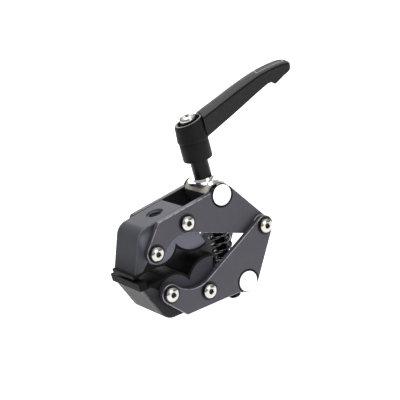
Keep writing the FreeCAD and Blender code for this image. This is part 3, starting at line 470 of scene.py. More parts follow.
@dataclass(frozen=True)
class PowderCoat:
    """Black powder coat on a die casting: fine pimples, polished where hands rub it, lighter where painted
    light is marked and darker where painted shade is marked.
    """

    name: str = "lever_powder_coat_painted_light"

    def build(self) -> bpy.types.Material:
        """Returns: the material."""
        g = Graph(bpy.data.materials.new(self.name))
        pimple = g.noise(0.42, 2.0)
        coarse = g.noise(1.1, 2.0)
        handled = g.noise(11.0, 2.0)
        speck = pimple.ramp(0.5, 0.72)
        tone = g.mix(speck * 0.55, rgb(0.0035, 0.0035, 0.0034), rgb(0.016, 0.016, 0.0155))
        tone = g.mix(handled.ramp(0.5, 0.8) * 0.3, tone, rgb(0.007))
        # painted light: a lighter tone where the pieces mark light falling on them
        painted_light_tone = g.mix(speck, rgb(0.2, 0.2, 0.197), rgb(0.4, 0.4, 0.395))
        tone = g.mix(g.painted("wear_and_painted_light"), tone, painted_light_tone)
        # painted shade where the pieces mark recesses
        g.set(Base_Color=g.mix(g.painted("painted_shade") * 0.95, tone, rgb(0.002)))
        g.set(Roughness=0.5 - handled * 0.12 + coarse * 0.08, Specular_IOR_Level=0.13)
        g.bump(pimple * 0.7 + coarse * 0.3, 0.07, 0.7)
        return g.holder


def finishes() -> Looks:
    """Returns: one material per slot of the record."""
    made = {
        Slot.BLOCK: AnodisedBlock(
            "anodised_block_painted_light_and_shade", colour=(0.05, 0.051, 0.06), tint=(0.05, 0.05, 0.062),
            worn=(0.3, 0.3, 0.33), bands=((11.92, 12.47), (16.22, 16.77)), wear=0.15, sheen=0.15),
        Slot.PLATE: AnodisedPlate(
            "anodised_plate_painted_shade", colour=(0.049, 0.048, 0.06), tint=(0.066, 0.054, 0.07),
            worn=(0.4, 0.4, 0.43), bands=((16.12, 16.47), (20.42, 20.77)), wear=0.6, sheen=0.5),
        Slot.RUBBER: Rubber(),
        Slot.STAINLESS: Metal("polished_stainless_painted_shade", (0.56, 0.545, 0.51), (0.4, 0.38, 0.35), 0.1, 0.25),
        Slot.TURNED: Metal("turned_steel_finish", (0.5, 0.5, 0.49), (0.38, 0.37, 0.35), 0.24, 0.3),
        Slot.POLYMER: Polymer(),
        Slot.CHROME: BarrelChrome("chrome_painted_light_and_shade", (0.86, 0.86, 0.85), (0.78, 0.78, 0.76), 0.04, 0.35,
                                  mark_depth=0.0015),
        Slot.SPRING: Metal("spring_wire_black", (0.07, 0.07, 0.072), (0.16, 0.16, 0.16), 0.1, 0.3, coat=0.5),
        Slot.OXIDE: Metal("black_oxide", (0.012, 0.012, 0.013), (0.02, 0.018, 0.017), 0.26, 0.3, coat=0.06),
        Slot.CAST: PowderCoat(),
    }
    return {slot: finish.build() for slot, finish in made.items()}


# -------------------------------- meshes

def grid_faces(rows: int, columns: int, wrap_rows: bool) -> np.ndarray:
    """Quads of a grid whose columns close into a ring.

    Args:
        rows, columns: the grid's size.
        wrap_rows: whether the last row joins the first.
    Returns:
        An array of four indices per quad.
    """
    row = np.arange(rows if wrap_rows else rows - 1)[:, None]
    column = np.arange(columns)[None, :]
    above = (row + 1) % rows
    beside = (column + 1) % columns
    corners = (row * columns + column, row * columns + beside, above * columns + beside,
               above * columns + column)
    return np.stack(np.broadcast_arrays(*corners), -1).reshape(-1, 4)


def shown(name: str, data: bpy.types.ID) -> bpy.types.Object:
    """Args: name, data: what the new object has. Returns: the object, linked to the scene."""
    made = bpy.data.objects.new(name, data)
    bpy.context.scene.collection.objects.link(made)
    return made


def mesh_piece(name: str, points: np.ndarray, wrap_rows: bool = False,
               smooth: float = 32.0) -> bpy.types.Object:
    """A closed piece from a grid of points.

    Args:
        name: the piece's name.
        points: rows x columns x 3, in mm; each row is a ring.
        wrap_rows: whether the rows close too, as on a ring. Otherwise the end rows are capped.
        smooth: edges sharper than this many degrees stay crisp.
    Returns:
        The object, at the origin.
    """
    rows, columns = points.shape[:2]
    faces = grid_faces(rows, columns, wrap_rows).tolist()
    if not wrap_rows:
        faces.append(list(range(columns)))
        faces.append(list(range((rows - 1) * columns, rows * columns)))
    mesh = bpy.data.meshes.new(name)
    mesh.from_pydata((points.reshape(-1, 3) * MM).tolist(), [], faces)
    tidy(mesh, smooth)
    return shown(name, mesh)


def tidy(mesh: bpy.types.Mesh, smooth: float, merge: float = 1e-7, flatten: float = 0.0) -> None:
    """Merge doubles, drop empty faces, point faces outwards and set which edges are crisp.

    Args:
        mesh: the mesh to finish.
        smooth: edges sharper than this many degrees stay crisp.
        merge: vertices nearer than this many metres become one.
        flatten: faces within this many degrees of each other are joined, where it isn't 0.
    """
    work = bmesh.new()
    work.from_mesh(mesh)
    bmesh.ops.remove_doubles(work, verts=work.verts, dist=merge)
    if flatten:
        limit = math.radians(flatten)
        bmesh.ops.dissolve_limit(work, angle_limit=limit, verts=work.verts, edges=work.edges)
    else:
        bmesh.ops.dissolve_degenerate(work, edges=work.edges, dist=1e-8)
    bmesh.ops.recalc_face_normals(work, faces=work.faces)
    work.to_mesh(mesh)
    work.free()
    mesh.shade_smooth()
    mesh.set_sharp_from_angle(angle=math.radians(smooth))


def lathe(profile: np.ndarray, columns: int, reach: Callable | None = None) -> np.ndarray:
    """Turn a profile about Z: x = r cos a, y = r sin a, z = height, with r changed by reach.

    Args:
        profile: rows of (radius, height) in mm.
        columns: points round each ring.
        reach: takes (radius, height, angle) arrays and gives the radius to use.
    Returns:
        rows x columns x 3 points.
    """
    angle = np.linspace(0.0, 2 * np.pi, columns, endpoint=False)[None, :]
    radius = np.broadcast_to(profile[:, :1], (len(profile), columns))
    height = np.broadcast_to(profile[:, 1:], (len(profile), columns))
    if reach is not None:
        radius = reach(radius, height, angle)
    return np.stack([radius * np.cos(angle), radius * np.sin(angle), height], -1)


def tube(path: np.ndarray, radius: float, columns: int = 16) -> np.ndarray:
    """Carry a circle along a path: each ring lies across the path's direction.

    The ring's first axis points away from the Z axis through the path's middle, and its second
    axis is the cross product of the direction and the first.

    Args:
        path: points of the wire's centre line, in mm.
        radius: wire radius in mm.
        columns: points round the wire.
    Returns:
        rows x columns x 3 points.
    """
    along = np.gradient(path, axis=0)
    along /= np.linalg.norm(along, axis=1, keepdims=True)
    out = path * [1, 1, 0]
    out -= (out * along).sum(1, keepdims=True) * along
    out /= np.linalg.norm(out, axis=1, keepdims=True)
    across = np.cross(along, out)
    turn = np.linspace(0.0, 2 * np.pi, columns, endpoint=False)
    turn = turn[None, :, None]
    ring = np.cos(turn) * out[:, None, :] + np.sin(turn) * across[:, None, :]
    return path[:, None, :] + radius * ring


def smooth_line(stations: Sequence[Pair], at: np.ndarray) -> np.ndarray:
    """Cubic through the stations, whose slope at each is the mean of the slopes on its two sides.

    Args:
        stations: (place, height) pairs in rising order of place.
        at: places to evaluate.
    Returns:
        Heights.
    """
    xs, ys = np.array(stations, float).T
    steps = np.diff(ys) / np.diff(xs)
    slopes = np.concatenate([steps[:1], (steps[:-1] + steps[1:]) / 2, steps[-1:]])
    i = np.clip(np.searchsorted(xs, at) - 1, 0, len(xs) - 2)
    width = xs[i + 1] - xs[i]
    t = np.clip((at - xs[i]) / width, 0, 1)
    return (ys[i] * (1 + 2 * t) * (1 - t) ** 2 + slopes[i] * width * t * (1 - t) ** 2
            + ys[i + 1] * t * t * (3 - 2 * t) + slopes[i + 1] * width * t * t * (t - 1))


def smooth_step(value: np.ndarray, low: float, high: float) -> np.ndarray:
    """0 below low, 1 above high and t*t*(3-2t) between."""
    t = np.clip((value - low) / (high - low), 0, 1)
    return t * t * (3 - 2 * t)


def mark(piece: bpy.types.Object, name: str, amount: np.ndarray) -> None:
    """Args: piece: the piece. name: the attribute. amount: 0 to 1 by vertex."""
    attribute = piece.data.attributes.new(name, "FLOAT", "POINT")
    attribute.data.foreach_set("value", amount.astype(np.float32))


def vertices_of(piece: bpy.types.Object) -> np.ndarray:
    """Args: piece: a mesh. Returns: its vertices in mm, one per row."""
    flat = np.zeros(len(piece.data.vertices) * 3, np.float32)
    piece.data.vertices.foreach_get("co", flat)
    return flat.reshape(-1, 3) / MM


def placed(piece: bpy.types.Object, place: Matrix, body: Body | None, slot: Slot,
           looks: Looks, stands_for: Sequence[str] = ()) -> bpy.types.Object:
    """Put a new piece in its place, dress it and let it ride.

    Args:
        piece: the piece, modelled about the origin.
        place: where its mesh goes, in metres.
        body: the body it rides on, or None where it rides on no body and stays where it is.
        slot: its finish.
        looks: the materials.
        stands_for: the frame's nodes that it replaces.
    Returns:
        The same piece.
    """
    piece.data.transform(place)
    piece.data.materials.clear()
    piece.data.materials.append(looks[slot])
    if stands_for:
        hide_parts(*stands_for)
    if body is not None:
        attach(piece, body.value)
    LOG.info("piece %s: %d faces", piece.name, len(piece.data.polygons))
    return piece


def axis_of(node: str) -> Pair:
    """Args: node: a frame node turned about Z. Returns: its axis as x and y, in metres."""
    low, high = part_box(node)
    return ((low.x + high.x) / 2, (low.y + high.y) / 2)


# -------------------------------- lever

@dataclass
class LeverHandle:
    """Die-cast lever: a hub with a seam round its middle and a raised arm with a thumb notch."""

    looks: Looks
    heading: float = -15.0
    reach: float = 70.2
    foot: float = 49.7
    top: float = 76.0
    root: float = 7.6
    root_half_width: float = 6.5
    tip_half_width: float = 5.4
    tip_round: float = 3.4
    teeth: int = 24
    tooth_depth: float = 0.7
    draft: float = 0.35
    slant: float = 0.19
    slant_drop: float = 1.8
    slant_from: float = 70.0
    seam_rise: float = 12.0
    tooth_radius: float = 6.45
    tooth_top: float = 16.7
    tooth_foot: float = 20.75
    lit_land: Pair = (7.1, 8.3)
    groove: float = 0.5
    upper_round: float = 0.45
    lower_round: float = 1.1
    panel_ends: Pair = (48.0, 65.0)
    panel_half: float = 3.0
    panel_depth: float = 0.7
    upper_line: tuple = (
        (7.0, 75.1), (9.0, 75.7), (12.0, 76.7), (16.0, 78.0), (20.0, 79.45), (25.0, 81.2), (30.0, 83.0),
        (35.0, 84.65), (40.0, 86.2), (45.0, 87.75), (50.0, 89.0), (55.0, 89.8), (60.0, 90.35), (64.0, 90.5),
        (67.0, 90.15), (69.0, 89.3), (70.2, 88.2))
    crown_line: tuple = ((7.0, 1.9), (12.0, 2.2), (20.0, 2.2), (31.0, 2.2), (42.0, 2.1), (50.0, 1.6),
                         (58.0, 1.45), (65.0, 1.25), (70.2, 0.4))
    lower_line: tuple = (
        (7.0, 61.9), (10.4, 63.3), (31.1, 71.9), (50.0, 80.0), (53.0, 81.05), (55.2, 80.95), (56.1, 80.3),
        (56.8, 79.55), (57.8, 79.6), (60.0, 80.7), (64.0, 82.7), (67.2, 84.1), (69.2, 85.4), (70.2, 86.9))

    def hub_profile(self) -> np.ndarray:
        """Returns: the hub's closed outline as (radius, height) rows, outside first."""
        foot, top, seam = self.foot, self.top, self.foot + self.seam_rise
        tooth, tooth_top, tooth_foot = self.tooth_radius, top - self.tooth_top, top - self.tooth_foot
        outside = [(7.4, foot), (8.3, foot), (8.75, foot + 0.15), (9.0, foot + 0.4), (9.1, foot + 0.8),
                   (9.1, seam - 5.0), (9.1, seam - 0.3), (9.02, seam - 0.05), (9.12, seam + 0.1),
                   (9.55, seam + 0.42), (9.68, seam + 0.75), (9.62, seam + 1.4), (9.3, seam + 6.0),
                   (9.15, self.slant_from), (8.88, top - 1.2), (8.83, top - 0.8), (8.7, top - 0.4),
                   (8.5, top - 0.14), (8.25, top - 0.01), (7.6, top)]
        inside = [(7.4, top - 0.08), (7.25, top - 0.4), (6.25, top - 4.5), (6.1, top - 4.6), (5.6, top - 5.0),
                  (5.6, top - 15.1), (3.0, top - 15.1), (3.0, tooth_top), (tooth, tooth_top),
                  (tooth, tooth_top - 0.05), (tooth, tooth_foot), (tooth + 0.01, tooth_foot - 0.05),
                  (tooth + 0.01, foot + 0.4), (6.8, foot)]
        return np.array(outside + inside)

    def hub_plane(self, x: np.ndarray) -> np.ndarray:
        """Height of the hub's sloping top: top - slant_drop + slant * x. Args: x: mm. Returns: mm."""
        return self.top - self.slant_drop + self.slant * x

    def hub_points(self) -> np.ndarray:
        """Turn the hub and press its upper end under the sloping plane.

        Above slant_from, height becomes slant_from + (height - slant_from) * (plane - slant_from) /
        (top - slant_from).

        Returns:
            rows x columns x 3 points, x towards the arm.
        """
        points = lathe(self.hub_profile(), 192, self.tooth_reach)
        share = (self.hub_plane(points[..., 0]) - self.slant_from) / (self.top - self.slant_from)
        over = np.clip(points[..., 2] - self.slant_from, 0, None)
        points[..., 2] += over * (share - 1)
        return points

    def tooth_reach(self, radius: np.ndarray, height: np.ndarray, angle: np.ndarray) -> np.ndarray:
        """Pull the bore in by a triangle wave of the angle where the lever's own serrations are."""
        wave = np.abs((angle * self.teeth / (2 * np.pi)) % 1.0 * 2 - 1)
        depth = self.top - height
        band = (depth > self.tooth_top - 0.01) & (depth < self.tooth_foot + 0.01)
        return radius - (np.abs(radius - self.tooth_radius) < 1e-6) * band * self.tooth_depth * wave

    def half_width(self, along: np.ndarray) -> np.ndarray:
        """Falls evenly from the root to the tip. Args: along: mm. Returns: mm."""
        share = (along - self.root) / (self.reach - self.root)
        return self.root_half_width + (self.tip_half_width - self.root_half_width) * share

    def arm_points(self) -> np.ndarray:
        """Arm surface: a rounded rectangle carried along the arm between its upper and lower lines.

        The half width falls evenly to the tip, where it closes as an ellipse. The top is crowned as
        1 - (y / half width)^2, a shallow panel is sunk into it towards the tip, and a groove runs along
        each side just under the top.

        Returns:
            rows x columns x 3 points, x along the arm.
        """
        near_tip = self.reach - self.tip_round
        tip = near_tip + self.tip_round * np.sin(np.linspace(0, np.pi / 2, 26))
        coarse, fine = np.linspace(self.root, 46.5, 50), np.linspace(46.8, near_tip, 84)[:-1]
        along = np.concatenate([coarse, fine, tip])
        past = np.clip((along - near_tip) / self.tip_round, 0, 1)
        half = self.half_width(along) * np.sqrt(np.clip(1 - past ** 2, 0, 1))
        high = smooth_line(self.upper_line, along)
        low = smooth_line(self.lower_line, along)
        crown = (smooth_line(self.crown_line, along) * half / self.root_half_width)[:, None]
        top_round = np.minimum(self.upper_round, half * 0.9)[:, None]
        low_round = np.minimum(self.lower_round, half * 0.9)[:, None]
        half, high, low = (a[:, None] for a in (half, high, low))
        quarter = np.linspace(0, np.pi / 2, 7)[None, :]
        even = np.linspace(-1, 1, 33)[None, 1:-1]
        start = high - top_round
        total = start - (low + low_round)
        step = np.minimum(0.34, np.abs(total) * 0.08)
        lip = step * np.array([[0.6, 1.2, 2.2, 2.8]])
        rest = lip[:, -1:] + (total - lip[:, -1:]) * np.linspace(0, 1, 9)[None, 1:-1]
        fall = np.concatenate([lip, rest], 1)
        depth = self.groove * np.clip(half / 3, 0, 1) * np.array([[0, 1, 1, 0] + [0] * 7])
        share = fall / np.where(np.abs(total) < 1e-6, 1e-6, total)
        flank = half - self.draft * share * half / self.root_half_width - depth
        foot_half = half * (1 - self.draft / self.root_half_width)
        late, early = 1 - np.sin(quarter), 1 - np.cos(quarter)
        bend, dip = half - top_round * late, high - top_round * early
        heel, rise = foot_half - low_round * early, low + low_round * late
        back = slice(None), slice(None, None, -1)
        parts = [(even * (half - top_round), high + 0 * even, True), (bend, dip, True),
                 (flank, start - fall, False), (heel, rise, False),
                 (-even * (foot_half - low_round), low + 0 * even, False), (-heel[back], rise[back], False),
                 (-flank[back], (start - fall)[back], False), (-bend[back], dip[back], True)]
        across = np.concatenate([np.broadcast_to(y, (len(along), y.shape[1])) for y, _, _ in parts], 1)
        height = np.concatenate([np.broadcast_to(z, (len(along), z.shape[1])) for _, z, _ in parts], 1)
        above = np.concatenate([np.full((1, y.shape[1]), flag) for y, _, flag in parts], 1)
        width = np.maximum(half, 1e-6)
        height = height + above * crown * (1 - np.clip(np.abs(across) / width, 0, 1) ** 2)
        x = np.broadcast_to(along[:, None], across.shape)
        height = height - above * self.panel(x, across) * self.panel_depth
        return np.stack([x, across, height], -1)

    def panel(self, x: np.ndarray, across: np.ndarray, grow: float = 0.0) -> np.ndarray:
        """Args: x, across: places on the top. grow: mm added all round. Returns: 1 in the sunk panel."""
        start, end = self.panel_ends[0] - grow, self.panel_ends[1] + grow
        ends = smooth_step(x, start - 0.4, start + 0.4) * (1 - smooth_step(x, end - 0.4, end + 0.4))
        half = self.panel_half + grow
        return ends * (1 - smooth_step(np.abs(across), half - 0.3, half + 0.3))

    def shade_arm(self, arm: bpy.types.Object) -> None:
        """Mark painted light and shade on the arm: its top and a little of its sides paler as if lit, a
        painted highlight round the sunk panel, and painted shade in the panel and in the groove under the
        top. Args: arm: the arm before it is placed.
        """
        top_light, rim_highlight, panel_shade, side_light = 0.17, 0.7, -0.1, 0.055
        x, across, height = vertices_of(arm).T
        inset = self.half_width(x) - np.abs(across)
        below = smooth_line(self.upper_line, x) - height
        top = below < 0.5
        inside = self.panel(x, across)
        rim = np.clip(self.panel(x, across, 0.9) - inside, 0, 1)
        # painted light on the top and sides, painted highlight on the panel's rim
        mark(arm, "wear_and_painted_light", np.where(top, top_light + rim_highlight * rim + panel_shade * inside, side_light))
        # painted shade in the groove under the top edge and in the panel
        sunk = (below > 0.5) & (below < 1.5) & (inset > 0.3) & (inset < 0.9)
        mark(arm, "painted_shade", np.maximum(sunk * 1.0, top * inside * 0.6))

    def build(self) -> None:
        """Build the hub and the arm, which stand for the lever casting."""
        x, y = axis_of("spindle")
        place = Matrix.Translation((x, y, 0)) @ Matrix.Rotation(math.radians(self.heading), 4, "Z")
        hub = mesh_piece("lever_hub", self.hub_points(), wrap_rows=True, smooth=40)
        points = vertices_of(hub)
        radius = np.hypot(points[:, 0], points[:, 1])
        inner, outer = self.lit_land
        # painted highlight on the hub's top land round the recess
        land = (points[:, 2] > self.hub_plane(points[:, 0]) - 0.2) & (radius > inner) & (radius < outer)
        mark(hub, "wear_and_painted_light", land * 0.8)
        placed(hub, place, Body.LEVER, Slot.CAST, self.looks, ["lever_handle"])
        arm = mesh_piece("lever_arm", self.arm_points(), smooth=38)
        self.shade_arm(arm)
        placed(arm, place, Body.LEVER, Slot.CAST, self.looks, ["lever_handle"])


# -------------------------------- spindle, springs and threads

@dataclass
class ThrustTrain:
    """The threaded spindle, the clamp's two springs and the thread in its accessory hole."""

    looks: Looks
    pitch: float = 1.25
    thread_depth: float = 0.6
    thread_top: float = 12.0
    insert_radius: float = 4.72
    insert_bore: float = 4.6
    insert_pitch: float = 25.4 / 16
    insert_half: float = 5.7
    insert_depth: float = 0.72

    def thread_reach(self, radius: np.ndarray, height: np.ndarray, angle: np.ndarray) -> np.ndarray:
        """Cut a right-hand thread: a triangle wave of height / pitch less the angle's share of a turn.

        The wave is clipped to flat crests and roots, and fades out at both ends of the thread.
        """
        wave = np.abs((height / self.pitch - angle / (2 * np.pi)) % 1.0 * 2 - 1)
        cut = np.clip(wave * 1.25 - 0.1, 0, 1) * self.thread_depth
        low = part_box("spindle")[0].z / MM
        fade = smooth_step(height, low + 0.6, low + 1.6)
        fade = fade * (1 - smooth_step(height, self.thread_top - 1.5, self.thread_top))
        return radius - cut * fade

    def spindle(self) -> None:
        """Build the threaded spindle."""
        low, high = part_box("spindle")
        x, y = axis_of("spindle")
        radius = (high.x - low.x) / 2 / MM
        foot, head = low.z / MM, high.z / MM
        threaded = np.arange(foot + 0.8, self.thread_top, 0.125)
        profile = [(0.0, foot), (radius - 0.8, foot)] + [(radius, z) for z in threaded]
        profile += [(radius, self.thread_top + 1), (radius, head - 0.8), (radius - 0.8, head), (0.0, head)]
        piece = mesh_piece("threaded_spindle", lathe(np.array(profile), 48, self.thread_reach), smooth=50)
        placed(piece, Matrix.Translation((x, y, 0)), Body.SPINDLE, Slot.OXIDE, self.looks, ["spindle"])

    def coil(self, name: str, node: str, wire: float, turns: float) -> None:
        """Build a compression spring with closed ends, which stays fixed in place.

        The wire's height rises evenly with the angle in the middle and slowly over the first and
        last turn, where the coils lie a fiftieth of a wire apart.

        Args:
            name: the new piece's name.
            node: the frame node it stands for.
            wire: wire radius in mm.
            turns: number of turns.
        """
        low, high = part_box(node)
        x, y = axis_of(node)
        mean = (high.x - low.x) / 2 / MM - wire
        bottom, top = low.z / MM + wire, high.z / MM - wire
        t = np.linspace(0, 1, int(turns * 44) + 1)
        turn = t * turns
        closed = 2 * wire * 1.02
        slow = np.minimum(turn, 1.0) * closed
        slow_end = np.minimum(turns - turn, 1.0) * closed
        middle = np.clip((turn - 1.0) / (turns - 2.0), 0, 1)
        rise = bottom + slow + middle * ((top - bottom) - 2 * closed) + (closed - slow_end)
        angle = 2 * np.pi * turn
        path = np.stack([mean * np.cos(angle), mean * np.sin(angle), rise], -1)
        piece = mesh_piece(name, tube(path, wire, 18), smooth=60)
        placed(piece, Matrix.Translation((x, y, 0)), None, Slot.SPRING, self.looks, [node])
        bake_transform(piece)

    def accessory_thread(self) -> None:
        """Build the steel-cut thread inside the accessory hole: a ring whose bore is a helical groove."""
        mount = next(m for m in frame["record"]["mounts"] if m["name"] == "accessory_thread")
        centre, axis = Vector(mount["pos_m"]), Vector(mount["axis"])
        half, outer = self.insert_half, self.insert_radius
        heights = np.arange(-half, half + 1e-6, self.insert_pitch / 12)
        rows = [(outer, -half)] + [(self.insert_bore, z) for z in heights] + [(outer, half)]

        def groove(radius: np.ndarray, height: np.ndarray, angle: np.ndarray) -> np.ndarray:
            """Bring the bore in by a triangle wave of height / pitch less the angle's share of a turn."""
            wave = np.abs((height / self.insert_pitch - angle / (2 * np.pi)) % 1.0 * 2 - 1)
            ridge = self.insert_depth * np.clip(wave * 1.3 - 0.15, 0, 1)
            return np.where(radius > outer - 0.02, radius, radius - ridge)

        piece = mesh_piece("accessory_thread", lathe(np.array(rows), 64, groove), wrap_rows=True, smooth=50)
        turn = Vector((0, 0, 1)).rotation_difference(axis).to_matrix().to_4x4()
        placed(piece, Matrix.Translation(centre) @ turn, Body.UPPER_ARM, Slot.BLOCK, self.looks)

    def build(self) -> None:
        """Build every piece of the train."""
        self.spindle()
        self.coil("arm_opening_spring", "jaw_spring", 0.9, 9.5)
        self.coil("lever_return_spring", "lever_spring", 0.5, 4.5)
        self.accessory_thread()


# -------------------------------- screws

@dataclass
class ButtonScrews:
    """Button-head screws with a hexagon socket, in rows that face both ways across the clamp."""

    looks: Looks
    node: str
    body: Body
    spots: tuple[tuple[str, float, float], ...]
    seat: float
    shank: float
    head_radius: float = 4.75
    head_height: float = 2.75
    socket: float = 1.5
    socket_ring: float = 1.55
    dome_sweep: float = 1.18
    rim_shade: Pair = (4.1, 4.35)

    def profile(self) -> np.ndarray:
        """Dome: an ellipse quarter from the rim to the crown. Returns: (radius, height) rows."""
        sweep, ring, top, shank = self.dome_sweep, self.socket_ring, self.head_height, self.shank
        rim, rise = 0.6, top - 0.6
        dome = [(self.head_radius * math.cos(t) ** 0.9, rim + rise * math.sin(t) / math.sin(sweep))
                for t in np.linspace(0.0, sweep, 12)]
        rows = [(0.0, -shank), (2.0, -shank), (2.4, -shank + 0.5), (2.4, 0.0), (4.5, 0.0), (4.7, 0.14)]
        rows += dome + [(dome[-1][0] - 0.12, top), (1.98, top - 0.12), (ring, top - 0.4), (ring, top - 0.45),
                        (ring, top - 1.7), (ring + 1e-4, top - 1.72), (0.7, top - 1.95), (0.0, top - 2.05)]
        return np.array(rows)

    def hexagon(self, radius: np.ndarray, height: np.ndarray, angle: np.ndarray) -> np.ndarray:
        """Socket wall: half the width across flats over the cosine of the angle from the nearest flat."""
        wall = self.socket / np.cos((angle + np.pi / 6) % (np.pi / 3) - np.pi / 6)
        return np.where((np.abs(radius - self.socket_ring) < 0.01) & (height > 0), wall, radius)

    def build(self) -> None:
        """Build one screw at each spot on both sides."""
        for side, sign in (("near", -1), ("far", 1)):
            for spot, x, z in self.spots:
                name = f"{self.node.rsplit('_', 1)[0]}_screw_{side}_{spot}"
                piece = mesh_piece(name, lathe(self.profile(), 48, self.hexagon), smooth=28)
                points = vertices_of(piece)
                radius = np.hypot(points[:, 0], points[:, 1])
                # painted shade inside the hexagon socket
                sunk = smooth_step(self.head_height - points[:, 2], 0.3, 0.6)
                # painted reflection: a dark ring near the dome's foot for the dark plate it reflects
                rim = smooth_step(radius, *self.rim_shade)
                mark(piece, "painted_shade", np.maximum((radius < 1.8) * sunk, rim) * (points[:, 2] > 0))
                seat = Matrix.Translation((x * MM, sign * self.seat * MM, z * MM))
                facing = Matrix.Rotation(math.radians(90 * -sign), 4, "X")
                place = seat @ facing @ Matrix.Rotation(0.35 * x + z, 4, "Z")
                placed(piece, place, self.body, Slot.STAINLESS, self.looks, [self.node])


@dataclass
class LeverScrew:
    """The lever's retaining screw: a domed head with a cross recess over a long shank."""

    looks: Looks
    head: float = 5.0
    top: float = 77.95
    foot: float = 73.6
    shank: float = 2.5
    shank_end: float = 48.7
    heading: float = -29.0
    bar_half: Pair = (0.75, 0.95)
    bar_length: Pair = (3.0, 3.5)
    recess: float = 1.7

    def build(self) -> None:
        """Turn the head and sink the cross.

        The dome falls as 1.2 (r / head)^2 + 0.7 (r / head)^8. The cross is the larger of two bars, each a
        smooth box in x and y, and its depth is recess - 0.35 r.
        """
        rings = np.concatenate([np.linspace(0, 3.4, 36), np.linspace(3.5, self.head, 16)])
        share = rings / self.head
        dome = [(r, self.top - 1.2 * f ** 2 - 0.7 * f ** 8) for r, f in zip(rings, share)]
        head, foot, shank, end = self.head, self.foot, self.shank, self.shank_end
        side = [(head, foot + 0.35), (head - 0.15, foot + 0.08), (head - 0.4, foot), (shank, foot),
                (shank, end + 0.5), (shank - 0.4, end), (0.0, end)]
        piece = mesh_piece("lever_retaining_screw", lathe(np.array(dome + side), 128), smooth=34)
        points = vertices_of(piece)
        x, y = np.abs(points[:, 0]), np.abs(points[:, 1])
        bars = [(1 - smooth_step(a, *self.bar_half)) * (1 - smooth_step(b, *self.bar_length))
                for a, b in ((x, y), (y, x))]
        cross = np.maximum(*bars) * (points[:, 2] > self.top - 1.8)
        points[:, 2] -= cross * (self.recess - 0.35 * np.hypot(x, y))
        piece.data.vertices.foreach_set("co", (points * MM).astype(np.float32).ravel())
        # painted shade in the cross recess
        mark(piece, "painted_shade", cross)
        turn = Matrix.Rotation(math.radians(self.heading), 4, "Z")
        place = Matrix.Translation((*axis_of("lever_screw"), 0)) @ turn
        placed(piece, place, Body.SPINDLE, Slot.STAINLESS, self.looks, ["lever_screw"])


# -------------------------------- linings

@dataclass
class JawLining:
    """A moulded rubber lining with soft edges."""

    looks: Looks
    node: str
    name: str
    body: Body
    edge: float = 0.32

    def build(self) -> None:
        """Copy the lining's own shape, merge its loose triangles and round its edges."""
        mesh = frame["nodes"][self.node].data.copy()
        mesh.name = self.name
        tidy(mesh, 40, merge=1e-6, flatten=2.0)
        piece = shown(self.name, mesh)
        bevel = piece.modifiers.new("soft_edges", "BEVEL")
        bevel.width = self.edge * MM
        bevel.segments = 3
        bevel.limit_method = "ANGLE"
        bevel.angle_limit = math.radians(38)
        placed(piece, Matrix.Identity(4), self.body, Slot.RUBBER, self.looks, [self.node])


# -------------------------------- studio

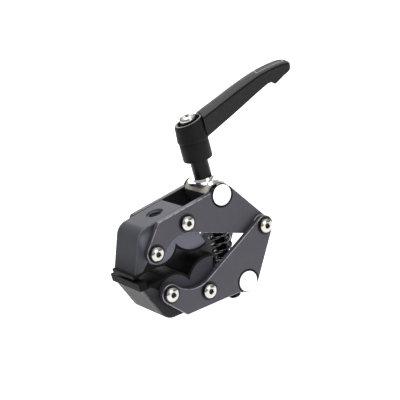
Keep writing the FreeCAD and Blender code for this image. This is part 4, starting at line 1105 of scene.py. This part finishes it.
@dataclass
class Studio:
    """Pale floor, soft lights and the camera."""

    camera_place: Triple = (-0.31606, -0.62095, 0.27094)
    look: Triple = (0.4603947, 0.8253285, -0.3269092)
    up: Triple = (0.3814465, 0.1486023, 0.9123683)
    lens: float = 111.74
    sensor: float = 36.0
    horizon: float = 0.1
    zenith: float = 0.9
    full_height: float = 0.7
    floor_half: float = 6.0
    floor_drop: float = 0.15
    floor_glow: float = 0.3
    aim: Triple = (0.02, 0.0, 0.02)
    lamps: tuple = (("overhead_softbox", (0.1, 0.2, 2.0), 2.0, 42.0),
                    ("back_softbox", (0.68, 1.12, 0.56), 0.6, 3.6),
                    ("front_card", (0.3, -1.6, 0.5), 0.9, 6.0))

    def floor(self) -> None:
        """Lay the floor well under the clamp, so that its shadow is too soft to see."""
        mesh = bpy.data.meshes.new("studio_floor")
        half, height = self.floor_half, CAD_BOX[0].z - self.floor_drop
        corners = [(x * half, y * half, height) for x, y in ((-1, -1), (1, -1), (1, 1), (-1, 1))]
        mesh.from_pydata(corners, [], [(0, 1, 2, 3)])
        g = Graph(bpy.data.materials.new("floor_paper"))
        g.set(Base_Color=g.mix(g.noise(40.0), rgb(0.9), rgb(0.92)), Roughness=0.9)
        g.set(Emission_Color=rgb(1.0), Emission_Strength=self.floor_glow)
        mesh.materials.append(g.holder)
        floor = shown("studio_floor", mesh)

    def lamp(self, name: str, place: tuple, size: float, watts: float) -> None:
        """Args: name. place: metres. size: edge in metres. watts: its power; it faces the clamp."""
        light = bpy.data.lights.new(name, "AREA")
        light.size = size
        light.energy = watts
        lamp = shown(name, light)
        lamp.location = place
        lamp.rotation_euler = (Vector(self.aim) - Vector(place)).to_track_quat("-Z", "Y").to_euler()

    def air(self) -> None:
        """Surround the clamp with light that grows from the horizon up, and show its tones plainly."""
        g = Graph(bpy.data.worlds.new("studio_air"), "Background", "Generated")
        height = g.node("ShaderNodeSeparateXYZ", {}, {0: g.place}, out="Z")
        limits = {"From Max": self.full_height, "To Min": self.horizon, "To Max": self.zenith}
        g.set(Color=rgb(1.0), Strength=g.node("ShaderNodeMapRange", {}, {"Value": height, **limits}))
        bpy.context.scene.world = g.holder
        bpy.context.scene.view_settings.view_transform = "Standard"

    def camera(self) -> None:
        """Set up the camera, whose axes are right, up and back from where it looks."""
        camera = shown("studio_camera", bpy.data.cameras.new("studio_camera"))
        camera.data.lens = self.lens
        camera.data.sensor_width = self.sensor
        back = -Vector(self.look).normalized()
        right = Vector(self.up).cross(back).normalized()
        axes = Matrix((right, back.cross(right), back)).transposed().to_4x4()
        camera.matrix_world = Matrix.Translation(self.camera_place) @ axes
        bpy.context.scene.camera = camera

    def build(self) -> None:
        """Build the floor, the lights, the surroundings and the camera."""
        self.floor()
        for lamp in self.lamps:
            self.lamp(*lamp)
        self.air()
        self.camera()


def dress_nodes(looks: Looks) -> None:
    """Give every carried-over node its finish. Args: looks: the materials."""
    slot_of = {s["node"]: s["material_slot"] for s in frame["record"]["subparts"]}
    for node, shape in frame["nodes"].items():
        for holder in shape.material_slots:
            holder.material = looks[Slot(slot_of[node])]
        LOG.info("node %s: %s", node, slot_of[node])


def main() -> None:
    """Build the clamp's pieces in order."""
    looks = finishes()
    dress_nodes(looks)
    LeverHandle(looks).build()
    LeverScrew(looks).build()
    arm_spots = (("front", *FRONT_SCREW), ("rear", *REAR_SCREW))
    lower_spots = tuple((name, x, -z) for name, x, z in arm_spots)
    ButtonScrews(looks, "upper_arm_screws", Body.UPPER_ARM, arm_spots, 16.5, 12.0).build()
    ButtonScrews(looks, "lower_arm_screws", Body.LOWER_ARM, lower_spots, 20.8, 12.0).build()
    ButtonScrews(looks, "pivot_screws", Body.LOWER_ARM, (("eye", *EYE_SCREW),), 20.8, 9.0).build()
    ThrustTrain(looks).build()
    JawLining(looks, "upper_jaw_pad", "upper_lining", Body.UPPER_ARM).build()
    JawLining(looks, "lower_jaw_pad", "lower_lining", Body.LOWER_ARM).build()
    Studio().build()


if __name__ == "__main__":
    main()
